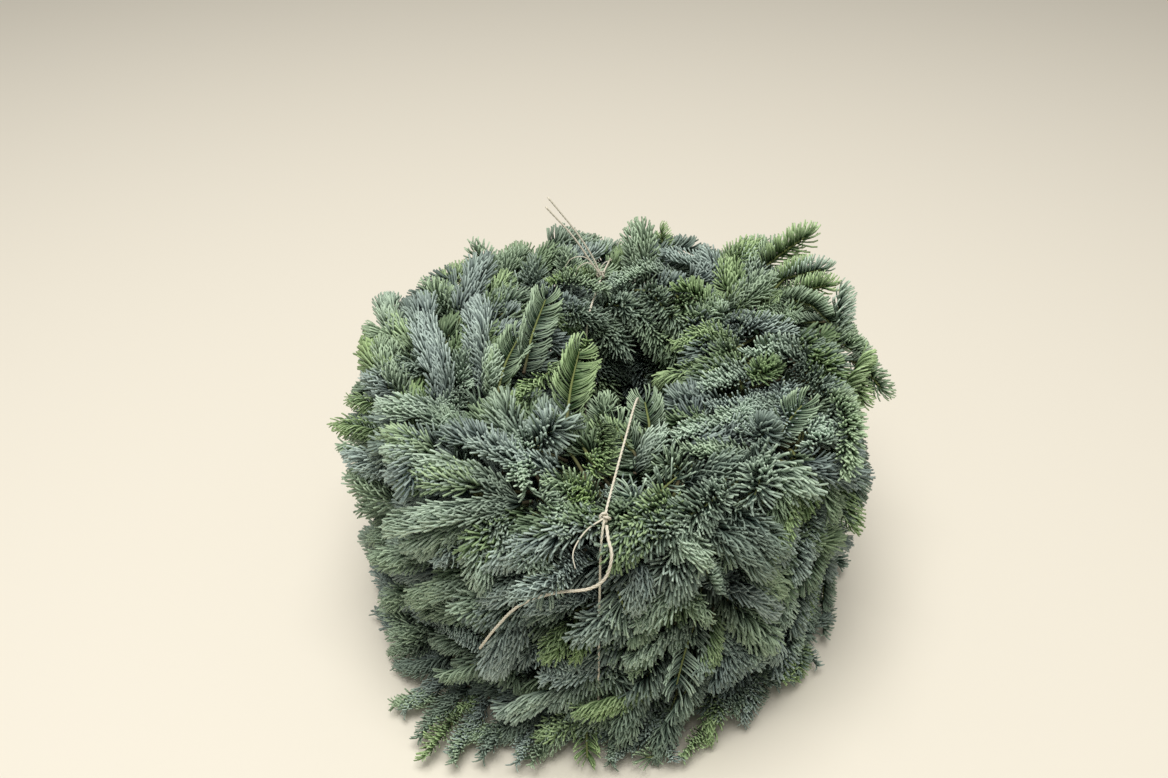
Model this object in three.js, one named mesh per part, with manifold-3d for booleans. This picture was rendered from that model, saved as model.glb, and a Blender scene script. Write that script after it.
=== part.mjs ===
// Four fresh noble fir wreaths, stacked flat and tied together with sisal twine at the front and the back.
// Millimetres, +Z up. The stack lies on Z = 0 with its axis on X = Y = 0, and its front faces -Y.
// Every wreath is a wire hoop with ten bunches of sprays laid on it, and a binding wire that winds round hoop
// and stems.

import * as THREE from 'three';
import { mergeVertices } from 'three/addons/utils/BufferGeometryUtils.js';
import Module from 'manifold-3d';

const wasm = await Module();
wasm.setup();

// ---------------------------------------------------------------- driving dimensions

const WREATHS = 4;
const BUNCHES = 10; // in each wreath
const OUTER_RADIUS = 207; // over the needle tips
const STACK_HEIGHT = 246;
const HOLE_RADIUS = 51; // no needle comes nearer to the axis
const HOOP_RADIUS = 145;
const WREATH_PITCH = STACK_HEIGHT / WREATHS;
const HOOP_DROP = 4; // below the middle of its wreath

const HOOP_WIRE_RADIUS = 1.7;
const BINDING_WIRE_RADIUS = 0.5;
const STEM_BUNDLE_RADIUS = 4.5;
const SEAT_GAP = 0.3; // between pieces that bear on each other
const STEM_SHARES = [0.06, 0.25, 0.5, 0.75, 0.94]; // places along a bundle of stems, as shares of its sector
const WINDING_SHARE = 0.14; // where the binding wire goes round hoop and stems
const LINK_SHARE = 0.62; // where it passes under the hoop on its way to the next bunch
const WINDING_LEAD = 4.4; // wire radii that the wire moves on along the hoop in one turn

const SWIRL_OFFSET = 32; // the dividing planes pass this far from the axis, so the bunches lie in a swirl
const FRONT_TIE_HEADING = -102.5; // degrees from +X in which the front tie runs outward
const SECTOR = 360 / BUNCHES;
const BUNCH_GAP = 0.4; // between neighbouring bunches and wreaths
const LAYER_DROOP = 11; // degrees by which the wreaths slope down toward their outside
const SHOULDER_RADIUS = 160; // where the top of the stack starts to fall outward
const SHOULDER_DROOP = 30; // degrees
const RIM_RADIUS = 92; // where it starts to fall into the hole
const RIM_DROOP = 35; // degrees

const SPRAY_CORE_RADIUS = 3.1;
const SPRAY_INSET = 6.5; // from a spray's middle line to the planes that bound its bunch
const PRESSED_INSET = 3.3; // to the planes between wreaths, where sprays are pressed together
const NEEDLE_RISE = 12; // from the core's surface
const NEEDLE_SWEEP = 15; // forward along the spray
const REACH_OUT = 60;
const REACH_IN = 88;
const SPRAY_LIFT = 47; // most that a spray's tip rises above or falls below the stems
const GROUND_DIP = -2; // lowest point of a spray's middle line, so that the table leaves a flat on its core
const TURN_SPREAD = 12; // degrees over which a spray's turn varies
const RING_SHARES = [0, 0.3, 0.63, 0.95]; // places of the rings of a spray's core along its middle line
const RING_RADII = [0.7, 1.05, 1, 0.55].map((part) => part * SPRAY_CORE_RADIUS);
const SHORTEST_NEEDLE = 0.1; // as a share of a free one

// The sprays of one bunch. A turn of 0 degrees leaves the stems outward, 90 up and 180 in toward the hole.
// The root is a share of the bunch's length from its start, and the sweep is how far the tip trails clockwise.
const LOW_FAN = [
  { turn: -40, root: 0.22, sweep: 12 },
  { turn: 25, root: 0.3, sweep: 32 },
  { turn: -36, root: 0.46, sweep: 54 },
  { turn: 2, root: 0.52, sweep: 80 },
  { turn: 179, root: 0.34, sweep: 30 },
];
const TOP_FAN = [
  { turn: -44, root: 0.22, sweep: 14 },
  { turn: 20, root: 0.36, sweep: 42 },
  { turn: -20, root: 0.48, sweep: 64 },
  { turn: 62, root: 0.26, sweep: 40 },
  { turn: 118, root: 0.4, sweep: 52 },
  { turn: 165, root: 0.26, sweep: 18 },
  { turn: 192, root: 0.48, sweep: 40 },
];

const TWINE_RADIUS = 1.5;
const TWINE_GAP = 0.2; // to the needles on both sides
const TIE_SLOPE = 20; // degrees by which the top rises away from a tie
const TWINE_SIDES = 5;
const KNOT_RADIUS = 2.4;
const KNOT_STEPS = 14;
const END_STEPS = 6;
const LOOP_STEPS = 30;
const TAIL_STEPS = 18;
const TAIL_SIDES = 8;
const LINE_STOPS = 14; // places along a spray's middle line by which its neighbours keep clear
const HOOP_STEPS = 3 * BUNCHES;

// Height of the foliage under each tie, and the route of its twine, as distances outward along the tie's
// plane and heights.
const TIES = [
  {
    name: 'tie_front',
    sector: 0,
    pressedTo: 241,
    route: [
      [59, 9], [56, 60], [55, 125], [55, 195], [60, 236], [72, 243.5], [110, 244.3], [150, 242.5], [180, 238],
      [190, 226], [193, 180], [193, 120], [192, 60], [189, 18], [176, 5], [140, 2.1], [95, 2.1], [70, 2.7],
    ],
    knotAt: [180, 238],
    ends: [[[-8, -183, 238], [-18, -190, 236], [-25, -197, 231], [-28, -204, 227], [-26.5, -209.5, 220]]],
  },
  {
    name: 'tie_back',
    sector: BUNCHES / 2,
    pressedTo: 230,
    route: [
      [59, 9], [56, 60], [55, 125], [55, 190], [60, 219], [72, 228], [95, 230.5], [118, 232.5], [150, 229.5],
      [176, 224], [189, 209], [193, 175], [193, 120], [192, 60], [189, 18], [176, 5], [140, 2.1], [95, 2.1],
      [70, 2.7],
    ],
    knotAt: [118, 236.5],
    ends: [
      [[-6, 119, 237], [-12, 121, 252], [-27, 124, 277], [-52, 129, 309]],
      [[-6, 119, 237], [-16, 118, 247], [-33, 118, 266], [-53, 120, 299]],
    ],
  },
];

// The long end of the front tie, from its knot down over the front of the stack.
const FRONT_TAIL = [
  [-6.6, -188.6, 237], [-5.6, -197.5, 234], [-3.6, -205.5, 228], [-7.7, -210.5, 212], [-17, -211.4, 203.5],
  [-39.8, -208.8, 196], [-63.5, -203.2, 177], [-81, -197.2, 147], [-95.5, -190.2, 114],
];

// ---------------------------------------------------------------- small helpers

const radians = THREE.MathUtils.degToRad;
const UP = new THREE.Vector3(0, 0, 1);

function headingVector(degrees) {
  return new THREE.Vector3(Math.cos(radians(degrees)), Math.sin(radians(degrees)), 0);
}

// A repeatable random number source, from 0 to 1.
function seeded(seed) {
  let state = seed;
  return () => {
    state = (Math.imul(state, 1664525) + 1013904223) >>> 0;
    return state / 4294967296;
  };
}

function solidOf(geometry) {
  const bare = new THREE.BufferGeometry();
  bare.setAttribute('position', geometry.getAttribute('position'));
  bare.setIndex(geometry.getIndex());
  const merged = mergeVertices(bare);
  return new wasm.Manifold(new wasm.Mesh({
    numProp: 3,
    vertProperties: Float32Array.from(merged.getAttribute('position').array),
    triVerts: Uint32Array.from(merged.getIndex().array),
  }));
}

function geometryOf(solid) {
  const mesh = solid.getMesh();
  const geometry = new THREE.BufferGeometry();
  geometry.setAttribute('position', new THREE.BufferAttribute(mesh.vertProperties, 3));
  geometry.setIndex(new THREE.BufferAttribute(mesh.triVerts, 1));
  geometry.computeVertexNormals();
  return geometry;
}

// The largest body of a solid, without the scraps and sealed hollows that joining sprays leaves.
function mainBody(solid) {
  return solid.decompose().reduce((kept, body) => (body.volume() > kept.volume() ? body : kept));
}

function polygonShape(radius, sides) {
  const shape = new THREE.Shape();
  for (let side = 0; side < sides; side += 1) {
    const angle = (2 * Math.PI * side) / sides;
    const go = side === 0 ? 'moveTo' : 'lineTo';
    shape[go](radius * Math.cos(angle), radius * Math.sin(angle));
  }
  shape.closePath();
  return shape;
}

// A tube with closed ends along a curve.
function openTube(curve, radius, sides, steps) {
  const settings = { steps, bevelEnabled: false, extrudePath: curve };
  return new THREE.ExtrudeGeometry(polygonShape(radius, sides), settings);
}

function smoothCurve(places) {
  return new THREE.CatmullRomCurve3(places.map((xyz) => new THREE.Vector3(...xyz)), false, 'centripetal');
}

// ---------------------------------------------------------------- where each bunch may grow

// Outward heading of the dividing plane in front of sector 0, 1, ... clockwise seen from above.
function dividerHeading(sector) {
  return FRONT_TIE_HEADING - SECTOR * sector;
}

// The vertical plane between sector - 1 and sector. Its normal points back into sector - 1.
function dividingPlane(sector) {
  const normal = headingVector(dividerHeading(sector) + 90);
  return new THREE.Plane(normal, -SWIRL_OFFSET);
}

function isTied(sector) {
  return TIES.some((tie) => (tie.sector - sector) % BUNCHES === 0);
}

// Half of the gap that the dividing plane of a sector keeps free.
function dividerGap(sector) {
  return isTied(sector) ? TWINE_RADIUS + TWINE_GAP : BUNCH_GAP / 2;
}

// Angle round the axis at which a sector's dividing plane crosses the hoop.
function hoopAngle(sector) {
  return dividerHeading(sector) + THREE.MathUtils.radToDeg(Math.asin(SWIRL_OFFSET / HOOP_RADIUS));
}

// A plane through a circle of the given radius and height, facing down, that falls outward by droop degrees.
function slopingCeiling(outward, radius, height, droop) {
  const normal = UP.clone().multiplyScalar(-Math.cos(radians(droop)));
  normal.addScaledVector(outward, -Math.sin(radians(droop)));
  const through = outward.clone().multiplyScalar(radius).addScaledVector(UP, height);
  return new THREE.Plane().setFromNormalAndCoplanarPoint(normal, through);
}

// The top over a bunch beside a tie, which rises away from the tie's plane.
function tieCeiling(tie, awayFromTie) {
  const normal = UP.clone().multiplyScalar(-Math.cos(radians(TIE_SLOPE)));
  normal.addScaledVector(awayFromTie, Math.sin(radians(TIE_SLOPE)));
  const onLine = dividingPlane(tie.sector).normal.clone().multiplyScalar(SWIRL_OFFSET);
  return new THREE.Plane().setFromNormalAndCoplanarPoint(normal, onLine.addScaledVector(UP, tie.pressedTo));
}

// The planes that face into the room of one bunch, each with how near a spray's middle line may come to it.
// The rooms are convex, so no two bunches meet.
function roomOf(wreath, sector) {
  const outward = headingVector(hoopAngle(sector + 0.5));
  const walls = [];
  const pressed = [];

  const near = dividingPlane(sector).negate();
  near.constant -= dividerGap(sector);
  const far = dividingPlane(sector + 1);
  far.constant -= dividerGap(sector + 1);
  walls.push(near, far);
  walls.push(new THREE.Plane(outward, -HOLE_RADIUS));

  const base = WREATH_PITCH * wreath;
  if (wreath > 0) {
    pressed.push(slopingCeiling(outward, HOOP_RADIUS, base + BUNCH_GAP / 2, LAYER_DROOP).negate());
  }
  if (wreath < WREATHS - 1) {
    const top = base + WREATH_PITCH - BUNCH_GAP / 2;
    pressed.push(slopingCeiling(outward, HOOP_RADIUS, top, LAYER_DROOP));
  } else {
    walls.push(slopingCeiling(outward, HOOP_RADIUS, STACK_HEIGHT, 0));
    walls.push(slopingCeiling(outward, SHOULDER_RADIUS, STACK_HEIGHT, SHOULDER_DROOP));
    walls.push(slopingCeiling(outward, RIM_RADIUS, STACK_HEIGHT, -RIM_DROOP));
    for (const tie of TIES) {
      if (tie.sector === sector) {
        walls.push(tieCeiling(tie, dividingPlane(sector).normal.clone().negate()));
      }
      if (tie.sector === (sector + 1) % BUNCHES) {
        walls.push(tieCeiling(tie, dividingPlane(sector + 1).normal));
      }
    }
  }
  return [
    ...walls.map((plane) => ({ plane, inset: SPRAY_INSET })),
    ...pressed.map((plane) => ({ plane, inset: PRESSED_INSET })),
  ];
}

// Moves a point of a spray's middle line square off each plane that it comes too near to.
function bentClear(walls, place) {
  const held = place.clone();
  const passes = 4;
  for (let pass = 0; pass < passes; pass += 1) {
    for (const wall of walls) {
      const short = wall.inset - wall.plane.distanceToPoint(held);
      if (short > 0) {
        held.addScaledVector(wall.plane.normal, short);
      }
    }
    const radius = Math.hypot(held.x, held.y);
    const most = OUTER_RADIUS - SPRAY_CORE_RADIUS;
    if (radius > most) {
      held.x *= most / radius;
      held.y *= most / radius;
    }
    held.z = Math.max(held.z, GROUND_DIP);
  }
  return held;
}

// True if a place is too near to the hoop for a needle.
function meetsHoop(wreath, place) {
  const room = HOOP_WIRE_RADIUS + 4 * (BINDING_WIRE_RADIUS + SEAT_GAP);
  return Math.hypot(Math.hypot(place.x, place.y) - HOOP_RADIUS, place.z - hoopHeight(wreath)) < room;
}

// True if a place lies nearer to the middle line of another spray than to its own spray's. Lines are lists of
// places.
function strays(place, ownLine, otherLines) {
  const reach = (line) => Math.min(...line.map((stop) => stop.distanceTo(place)));
  const home = reach(ownLine);
  return otherLines.some((line) => reach(line) < home);
}

// A needle's tip, drawn back toward its root until the needle is clear of the walls, outer radius, table,
// other sprays and hoop.
function needleEnd(room, root, tip) {
  let share = 1;
  for (const plane of [...room.walls.map((wall) => wall.plane), new THREE.Plane(UP, 0)]) {
    const inside = Math.max(plane.distanceToPoint(root), 0);
    const beyond = -plane.distanceToPoint(tip);
    if (beyond > 0) {
      share = Math.min(share, inside / (inside + beyond));
    }
  }
  const at = (part) => root.clone().lerp(tip, part);
  const blocked = (part) => {
    const place = at(part);
    return Math.hypot(place.x, place.y) > OUTER_RADIUS || strays(place, room.ownLine, room.otherLines);
  };
  const checks = [0.25, 0.5, 0.75, 1];
  const touchesHoop = (part) => checks.some((check) => meetsHoop(room.wreath, at(check * part)));
  while (share > SHORTEST_NEEDLE && (blocked(share) || touchesHoop(share))) {
    share *= 0.8;
  }
  return at(share);
}

// ---------------------------------------------------------------- sprays

function fanOf(wreath) {
  return wreath === WREATHS - 1 ? TOP_FAN : LOW_FAN;
}

// Middle line of one spray of a bunch.
function sprayLine(wreath, sector, { turn, root, sweep }, walls, random) {
  const angle = hoopAngle(sector + root);
  const outward = headingVector(angle);
  const clockwise = headingVector(angle - 90);
  const start = outward.clone().multiplyScalar(HOOP_RADIUS).setZ(stemHeight(wreath));

  const direction = radians(turn + TURN_SPREAD * (random() - 0.5));
  const across = Math.cos(direction);
  const rise = Math.sin(direction);
  const square = Math.max(Math.abs(across), Math.abs(rise));
  const reach = ((across > 0 ? REACH_OUT : REACH_IN) * across * (0.9 + 0.1 * random())) / square;
  const lift = (SPRAY_LIFT * rise) / square;

  const bend = start.clone().addScaledVector(outward, 0.55 * reach).addScaledVector(UP, 0.8 * lift);
  bend.addScaledVector(clockwise, 0.2 * sweep);
  const end = start.clone().addScaledVector(outward, reach).addScaledVector(UP, lift);
  end.addScaledVector(clockwise, sweep * (0.9 + 0.2 * random()));
  return new THREE.QuadraticBezierCurve3(start, bentClear(walls, bend), bentClear(walls, end));
}

// A spray: a slim three-sided core along a curve. Past its first band, every face is drawn out into a needle
// that leans forward.
function sprayGeometry(curve, room, roll) {
  const sides = 3;
  const rings = [];
  const middles = [];
  const side = new THREE.Vector3().crossVectors(curve.getTangent(0), UP).normalize();
  for (const [ring, share] of RING_SHARES.entries()) {
    const middle = curve.getPoint(share);
    const tangent = curve.getTangent(share);
    side.addScaledVector(tangent, -side.dot(tangent)).normalize();
    const normal = new THREE.Vector3().crossVectors(tangent, side);
    const corners = [];
    for (let corner = 0; corner < sides; corner += 1) {
      const angle = roll + (2 * Math.PI * (corner + 0.5 * ring)) / sides;
      const place = middle.clone().addScaledVector(side, RING_RADII[ring] * Math.cos(angle));
      corners.push(place.addScaledVector(normal, RING_RADII[ring] * Math.sin(angle)));
    }
    rings.push(corners);
    middles.push({ middle, tangent });
  }

  const positions = [];
  const triangle = (a, b, c) => positions.push(...a.toArray(), ...b.toArray(), ...c.toArray());
  const needleFace = (ring, a, b, c) => {
    const root = a.clone().add(b).add(c).divideScalar(3);
    const along = middles[ring].tangent.clone().add(middles[ring + 1].tangent).normalize();
    const away = root.clone().sub(middles[ring].middle);
    away.addScaledVector(along, -away.dot(along)).normalize();
    const tip = root.clone().addScaledVector(away, NEEDLE_RISE).addScaledVector(along, NEEDLE_SWEEP);
    const end = needleEnd(room, root, tip);
    triangle(a, b, end);
    triangle(b, c, end);
    triangle(c, a, end);
  };
  for (let ring = 0; ring + 1 < rings.length; ring += 1) {
    for (let corner = 0; corner < sides; corner += 1) {
      const next = (corner + 1) % sides;
      const ahead = rings[ring + 1][corner];
      const behind = rings[ring + 1][(corner + sides - 1) % sides];
      const face = ring === 0 ? (at, a, b, c) => triangle(a, b, c) : needleFace;
      face(ring, rings[ring][corner], ahead, behind);
      face(ring, rings[ring][corner], rings[ring][next], ahead);
    }
  }
  const last = rings[rings.length - 1];
  const bud = curve.getPoint(1);
  triangle(rings[0][0], rings[0][2], rings[0][1]);
  for (let corner = 0; corner < sides; corner += 1) {
    triangle(last[corner], last[(corner + 1) % sides], bud);
  }
  const geometry = new THREE.BufferGeometry();
  geometry.setAttribute('position', new THREE.Float32BufferAttribute(positions, 3));
  return mergeVertices(geometry);
}

// ---------------------------------------------------------------- stems, hoop and binding wire

function hoopHeight(wreath) {
  return WREATH_PITCH * (wreath + 0.5) - HOOP_DROP;
}

function stemHeight(wreath) {
  return hoopHeight(wreath) + HOOP_WIRE_RADIUS + SEAT_GAP + STEM_BUNDLE_RADIUS;
}

// Angle at which the binding wire goes round hoop and stems, just after a sector's start.
function windingAngle(sector) {
  return hoopAngle(sector + WINDING_SHARE);
}

function stemCurve(wreath, sector) {
  const places = STEM_SHARES.map((share) => {
    const place = headingVector(hoopAngle(sector + share)).multiplyScalar(HOOP_RADIUS);
    return [place.x, place.y, stemHeight(wreath)];
  });
  return smoothCurve(places);
}

function bunchGeometry(wreath, sector) {
  const random = seeded(101 + 37 * wreath + 11 * sector);
  const walls = roomOf(wreath, sector);
  const parts = [solidOf(openTube(stemCurve(wreath, sector), STEM_BUNDLE_RADIUS, 4, 3))];
  const curves = fanOf(wreath).map((habit) => sprayLine(wreath, sector, habit, walls, random));
  const lines = curves.map((curve) => curve.getPoints(LINE_STOPS));
  for (const [index, curve] of curves.entries()) {
    const otherLines = lines.filter((line) => line !== lines[index]);
    const room = { wreath, walls, ownLine: lines[index], otherLines };
    parts.push(solidOf(sprayGeometry(curve, room, 2 * Math.PI * random())));
  }
  return geometryOf(mainBody(wasm.Manifold.union(parts).trimByPlane([0, 0, 1], 0)));
}

function hoopGeometry(wreath) {
  const ring = new THREE.TorusGeometry(HOOP_RADIUS, HOOP_WIRE_RADIUS, 4, HOOP_STEPS);
  ring.rotateZ(radians(hoopAngle(0)));
  ring.translate(0, 0, hoopHeight(wreath));
  return geometryOf(solidOf(ring));
}

// A path that bends at each place and closes on itself, with its places at even steps.
class BentPath extends THREE.Curve {
  constructor(places) {
    super();
    this.places = places;
  }

  getPointAt(share) {
    return this.places[Math.round(share * this.places.length) % this.places.length].clone();
  }

  getTangentAt(share) {
    const count = this.places.length;
    const at = Math.round(share * count);
    return this.places[(at + 1) % count].clone().sub(this.places[(at + count - 1) % count]).normalize();
  }
}

// The binding wire: once round hoop and stems at the start of each bunch, then along under the hoop to the
// next.
function bindingWireGeometry(wreath) {
  const clear = BINDING_WIRE_RADIUS + SEAT_GAP;
  const hoopSide = HOOP_WIRE_RADIUS + clear;
  const stemSide = STEM_BUNDLE_RADIUS + clear;
  const stemRise = stemHeight(wreath) - hoopHeight(wreath);
  const under = [-0.9 * hoopSide, -hoopSide];
  const round = [
    under,
    [0.9 * hoopSide, -hoopSide],
    [1.2 * stemSide, stemRise],
    [0, stemRise + 1.3 * stemSide],
    [-1.2 * stemSide, stemRise],
    under,
  ];
  const leadAngle = THREE.MathUtils.radToDeg((WINDING_LEAD * BINDING_WIRE_RADIUS) / HOOP_RADIUS);
  const stepAngle = leadAngle / (round.length - 1);
  const places = [];
  const addPlace = (angle, [across, rise]) => {
    const place = headingVector(angle).multiplyScalar(HOOP_RADIUS + across);
    places.push(place.setZ(hoopHeight(wreath) + rise));
  };
  for (let sector = 0; sector < BUNCHES; sector += 1) {
    for (const [step, offset] of round.entries()) {
      addPlace(windingAngle(sector) - stepAngle * (step - 3), offset);
    }
    addPlace(hoopAngle(sector + LINK_SHARE), under);
  }
  const path = new BentPath(places);
  return geometryOf(solidOf(new THREE.TubeGeometry(path, places.length, BINDING_WIRE_RADIUS, 3, true)));
}

// ---------------------------------------------------------------- ties

// A place on a tie's plane, given by its distance outward along the plane and its height.
function placeOnTie(tie, [along, height]) {
  const place = dividingPlane(tie.sector).normal.clone().multiplyScalar(SWIRL_OFFSET);
  return place.addScaledVector(headingVector(dividerHeading(tie.sector)), along).setZ(height);
}

// A tie: a loop of twine round the stack's section, its knot, and the stiff ends that stand out of the knot.
function tieGeometry(tie) {
  const places = tie.route.map((place) => placeOnTie(tie, place));
  const loop = new THREE.CatmullRomCurve3(places, true, 'centripetal');
  const knotPlace = placeOnTie(tie, tie.knotAt);
  const parts = [solidOf(new THREE.TubeGeometry(loop, LOOP_STEPS, TWINE_RADIUS, TWINE_SIDES, true))];
  const knot = new THREE.TorusKnotGeometry(KNOT_RADIUS, TWINE_RADIUS, KNOT_STEPS, 3, 2, 3);
  knot.rotateY(Math.PI / 2);
  knot.rotateZ(radians(dividerHeading(tie.sector)));
  knot.translate(...knotPlace.toArray());
  parts.push(solidOf(knot));
  for (const end of tie.ends) {
    parts.push(solidOf(openTube(smoothCurve(end), TWINE_RADIUS, TWINE_SIDES, END_STEPS)));
  }
  return geometryOf(mainBody(wasm.Manifold.union(parts)));
}

function frontTailGeometry() {
  return geometryOf(solidOf(openTube(smoothCurve(FRONT_TAIL), TWINE_RADIUS, TAIL_SIDES, TAIL_STEPS)));
}

// ---------------------------------------------------------------- the stack

const materials = {
  foliage: () => new THREE.MeshStandardMaterial({ color: 0x5f7d72, roughness: 0.6, metalness: 0 }),
  wire: () => new THREE.MeshStandardMaterial({ color: 0x3d4a3c, roughness: 0.45, metalness: 0.6 }),
  twine: () => new THREE.MeshStandardMaterial({ color: 0xcfc4a0, roughness: 0.85, metalness: 0 }),
};

function named(name, geometry, material) {
  const mesh = new THREE.Mesh(geometry, material);
  mesh.name = name;
  return mesh;
}

const stack = new THREE.Group();
stack.name = 'fir_wreath_stack';

for (let wreath = 0; wreath < WREATHS; wreath += 1) {
  const label = `wreath_${wreath + 1}`;
  const group = new THREE.Group();
  group.name = label;
  group.add(named(`${label}_hoop`, hoopGeometry(wreath), materials.wire()));
  group.add(named(`${label}_binding_wire`, bindingWireGeometry(wreath), materials.wire()));
  for (let sector = 0; sector < BUNCHES; sector += 1) {
    const number = String(sector + 1).padStart(2, '0');
    group.add(named(`${label}_bunch_${number}`, bunchGeometry(wreath, sector), materials.foliage()));
  }
  stack.add(group);
}
for (const tie of TIES) {
  stack.add(named(tie.name, tieGeometry(tie), materials.twine()));
}
stack.add(named('tie_front_tail', frontTailGeometry(), materials.twine()));

export default stack;
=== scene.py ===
"""Looks for a tied stack of four fresh noble fir wreaths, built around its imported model.

Metres, +Z up. The stack stands on Z = 0 with its axis on X = Y = 0 and its front toward -Y. Angles are in
degrees from +X, seen from above. Sectors count clockwise from the front tie.
"""

import logging
import math
from collections.abc import Callable, Sequence
from dataclasses import dataclass, field
from enum import Enum
from typing import Any

import bpy
from mathutils import Matrix, Vector
from mathutils.kdtree import KDTree


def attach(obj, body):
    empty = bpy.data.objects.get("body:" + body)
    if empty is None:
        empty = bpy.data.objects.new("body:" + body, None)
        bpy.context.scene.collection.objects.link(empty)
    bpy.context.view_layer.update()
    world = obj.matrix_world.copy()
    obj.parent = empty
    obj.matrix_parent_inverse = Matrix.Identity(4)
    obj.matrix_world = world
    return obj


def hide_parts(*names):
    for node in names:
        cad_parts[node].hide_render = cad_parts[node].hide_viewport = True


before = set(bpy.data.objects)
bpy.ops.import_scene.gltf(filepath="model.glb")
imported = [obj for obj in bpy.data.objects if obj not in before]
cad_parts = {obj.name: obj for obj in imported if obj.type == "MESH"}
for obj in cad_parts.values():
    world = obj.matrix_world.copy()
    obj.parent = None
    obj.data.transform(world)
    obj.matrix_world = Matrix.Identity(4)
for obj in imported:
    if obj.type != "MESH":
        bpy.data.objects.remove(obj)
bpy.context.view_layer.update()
log = logging.getLogger("fir_stack")

BODY = "root"
TINY = 1e-6  # shortest length that has a direction
Colour = tuple[float, float, float, float]
Place = tuple[float, float, float]
Stop = tuple[float, float, float, float]  # a stop of a needle's curve: outward, forward, upward, width
Socket = bpy.types.NodeSocket


# ------------------------------------------------------------------------------------------ small helpers


class SeededSource:
    """A repeatable source of random numbers: a linear congruential generator."""

    scatter = 2654435761  # takes neighbouring seeds far apart
    factor = 1664525
    step = 1013904223
    states = 4294967296

    def __init__(self, seed: int) -> None:
        """Starts the source.

        Args:
            seed: any whole number.
        """
        self.state = seed * self.scatter % self.states

    def share(self) -> float:
        """Returns the next number, from 0 to 1."""
        self.state = (self.state * self.factor + self.step) % self.states
        return self.state / self.states

    def between(self, low: float, high: float) -> float:
        """Returns the next number from low to high."""
        return low + (high - low) * self.share()


def smooth_line(places: Sequence[Vector], steps: int, closed: bool = False) -> list[Vector]:
    """Samples a smooth curve through places.

    Args:
        places: what the curve goes through.
        steps: samples for each stretch between two places.
        closed: whether the last place joins the first.

    Returns:
        The samples, with the last place at the end unless closed.
    """
    count = len(places)
    line: list[Vector] = []
    for index in range(count if closed else count - 1):
        if closed:
            a, b, c, d = (places[(index + step) % count] for step in (-1, 0, 1, 2))
        else:
            b, c = places[index], places[index + 1]
            a = places[index - 1] if index > 0 else 2 * b - c
            d = places[index + 2] if index + 2 < count else 2 * c - b
        knots = [0.0]
        for start, end in ((a, b), (b, c), (c, d)):
            knots.append(knots[-1] + max((end - start).length, TINY) ** 0.5)
        t0, t1, t2, t3 = knots
        for step in range(steps):
            t = t1 + (t2 - t1) * step / steps
            ab = a.lerp(b, (t - t0) / (t1 - t0))
            bc = b.lerp(c, (t - t1) / (t2 - t1))
            cd = c.lerp(d, (t - t2) / (t3 - t2))
            near = ab.lerp(bc, (t - t0) / (t2 - t0))
            far = bc.lerp(cd, (t - t1) / (t3 - t1))
            line.append(near.lerp(far, (t - t1) / (t2 - t1)))
    if not closed:
        line.append(places[-1].copy())
    return line


def line_length(line: Sequence[Vector]) -> float:
    """Returns the length of a line through its points."""
    return sum((b - a).length for a, b in zip(line, line[1:]))


def mesh_object(name: str, mesh: bpy.types.Mesh) -> bpy.types.Object:
    """Returns a new object of a mesh, in the scene."""
    piece = bpy.data.objects.new(name, mesh)
    bpy.context.scene.collection.objects.link(piece)
    return piece


def tube_rings(
    line: Sequence[Vector], radius: Callable[[float], float], sides: int, closed: bool
) -> tuple[list[Vector], list[tuple[int, ...]]]:
    """Works out a tube along a line.

    Args:
        line: the tube's middle line.
        radius: gives the tube's radius at a share of its length.
        sides: faces round the tube.
        closed: whether the line closes on itself.

    Returns:
        Vertices and faces.
    """
    count = len(line)
    tangents = []
    for index in range(count):
        if closed:
            ahead, behind = line[(index + 1) % count], line[index - 1]
        else:
            ahead, behind = line[min(index + 1, count - 1)], line[max(index - 1, 0)]
        tangents.append((ahead - behind).normalized())
    side = tangents[0].orthogonal().normalized()
    sides_at = []
    for tangent in tangents:
        side = (side - tangent * side.dot(tangent)).normalized()
        sides_at.append(side)
    twist = 0.0
    if closed:
        last = sides_at[-1]
        first = (sides_at[0] - tangents[-1] * sides_at[0].dot(tangents[-1])).normalized()
        twist = math.atan2(tangents[-1].cross(last).dot(first), last.dot(first))
    vertices: list[Vector] = []
    for index, (middle, tangent) in enumerate(zip(line, tangents)):
        share = index / (count if closed else count - 1)
        across = sides_at[index]
        other = tangent.cross(across)
        for corner in range(sides):
            angle = 2 * math.pi * corner / sides + twist * share
            offset = across * math.cos(angle) + other * math.sin(angle)
            vertices.append(middle + offset * radius(share))
    faces: list[tuple[int, ...]] = []
    for ring in range(count if closed else count - 1):
        near, far = ring * sides, (ring + 1) % count * sides
        for corner in range(sides):
            ahead = (corner + 1) % sides
            faces.append((near + corner, near + ahead, far + ahead, far + corner))
    if not closed:
        faces.append(tuple(range(sides - 1, -1, -1)))
        faces.append(tuple(range((count - 1) * sides, count * sides)))
    return vertices, faces


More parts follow.
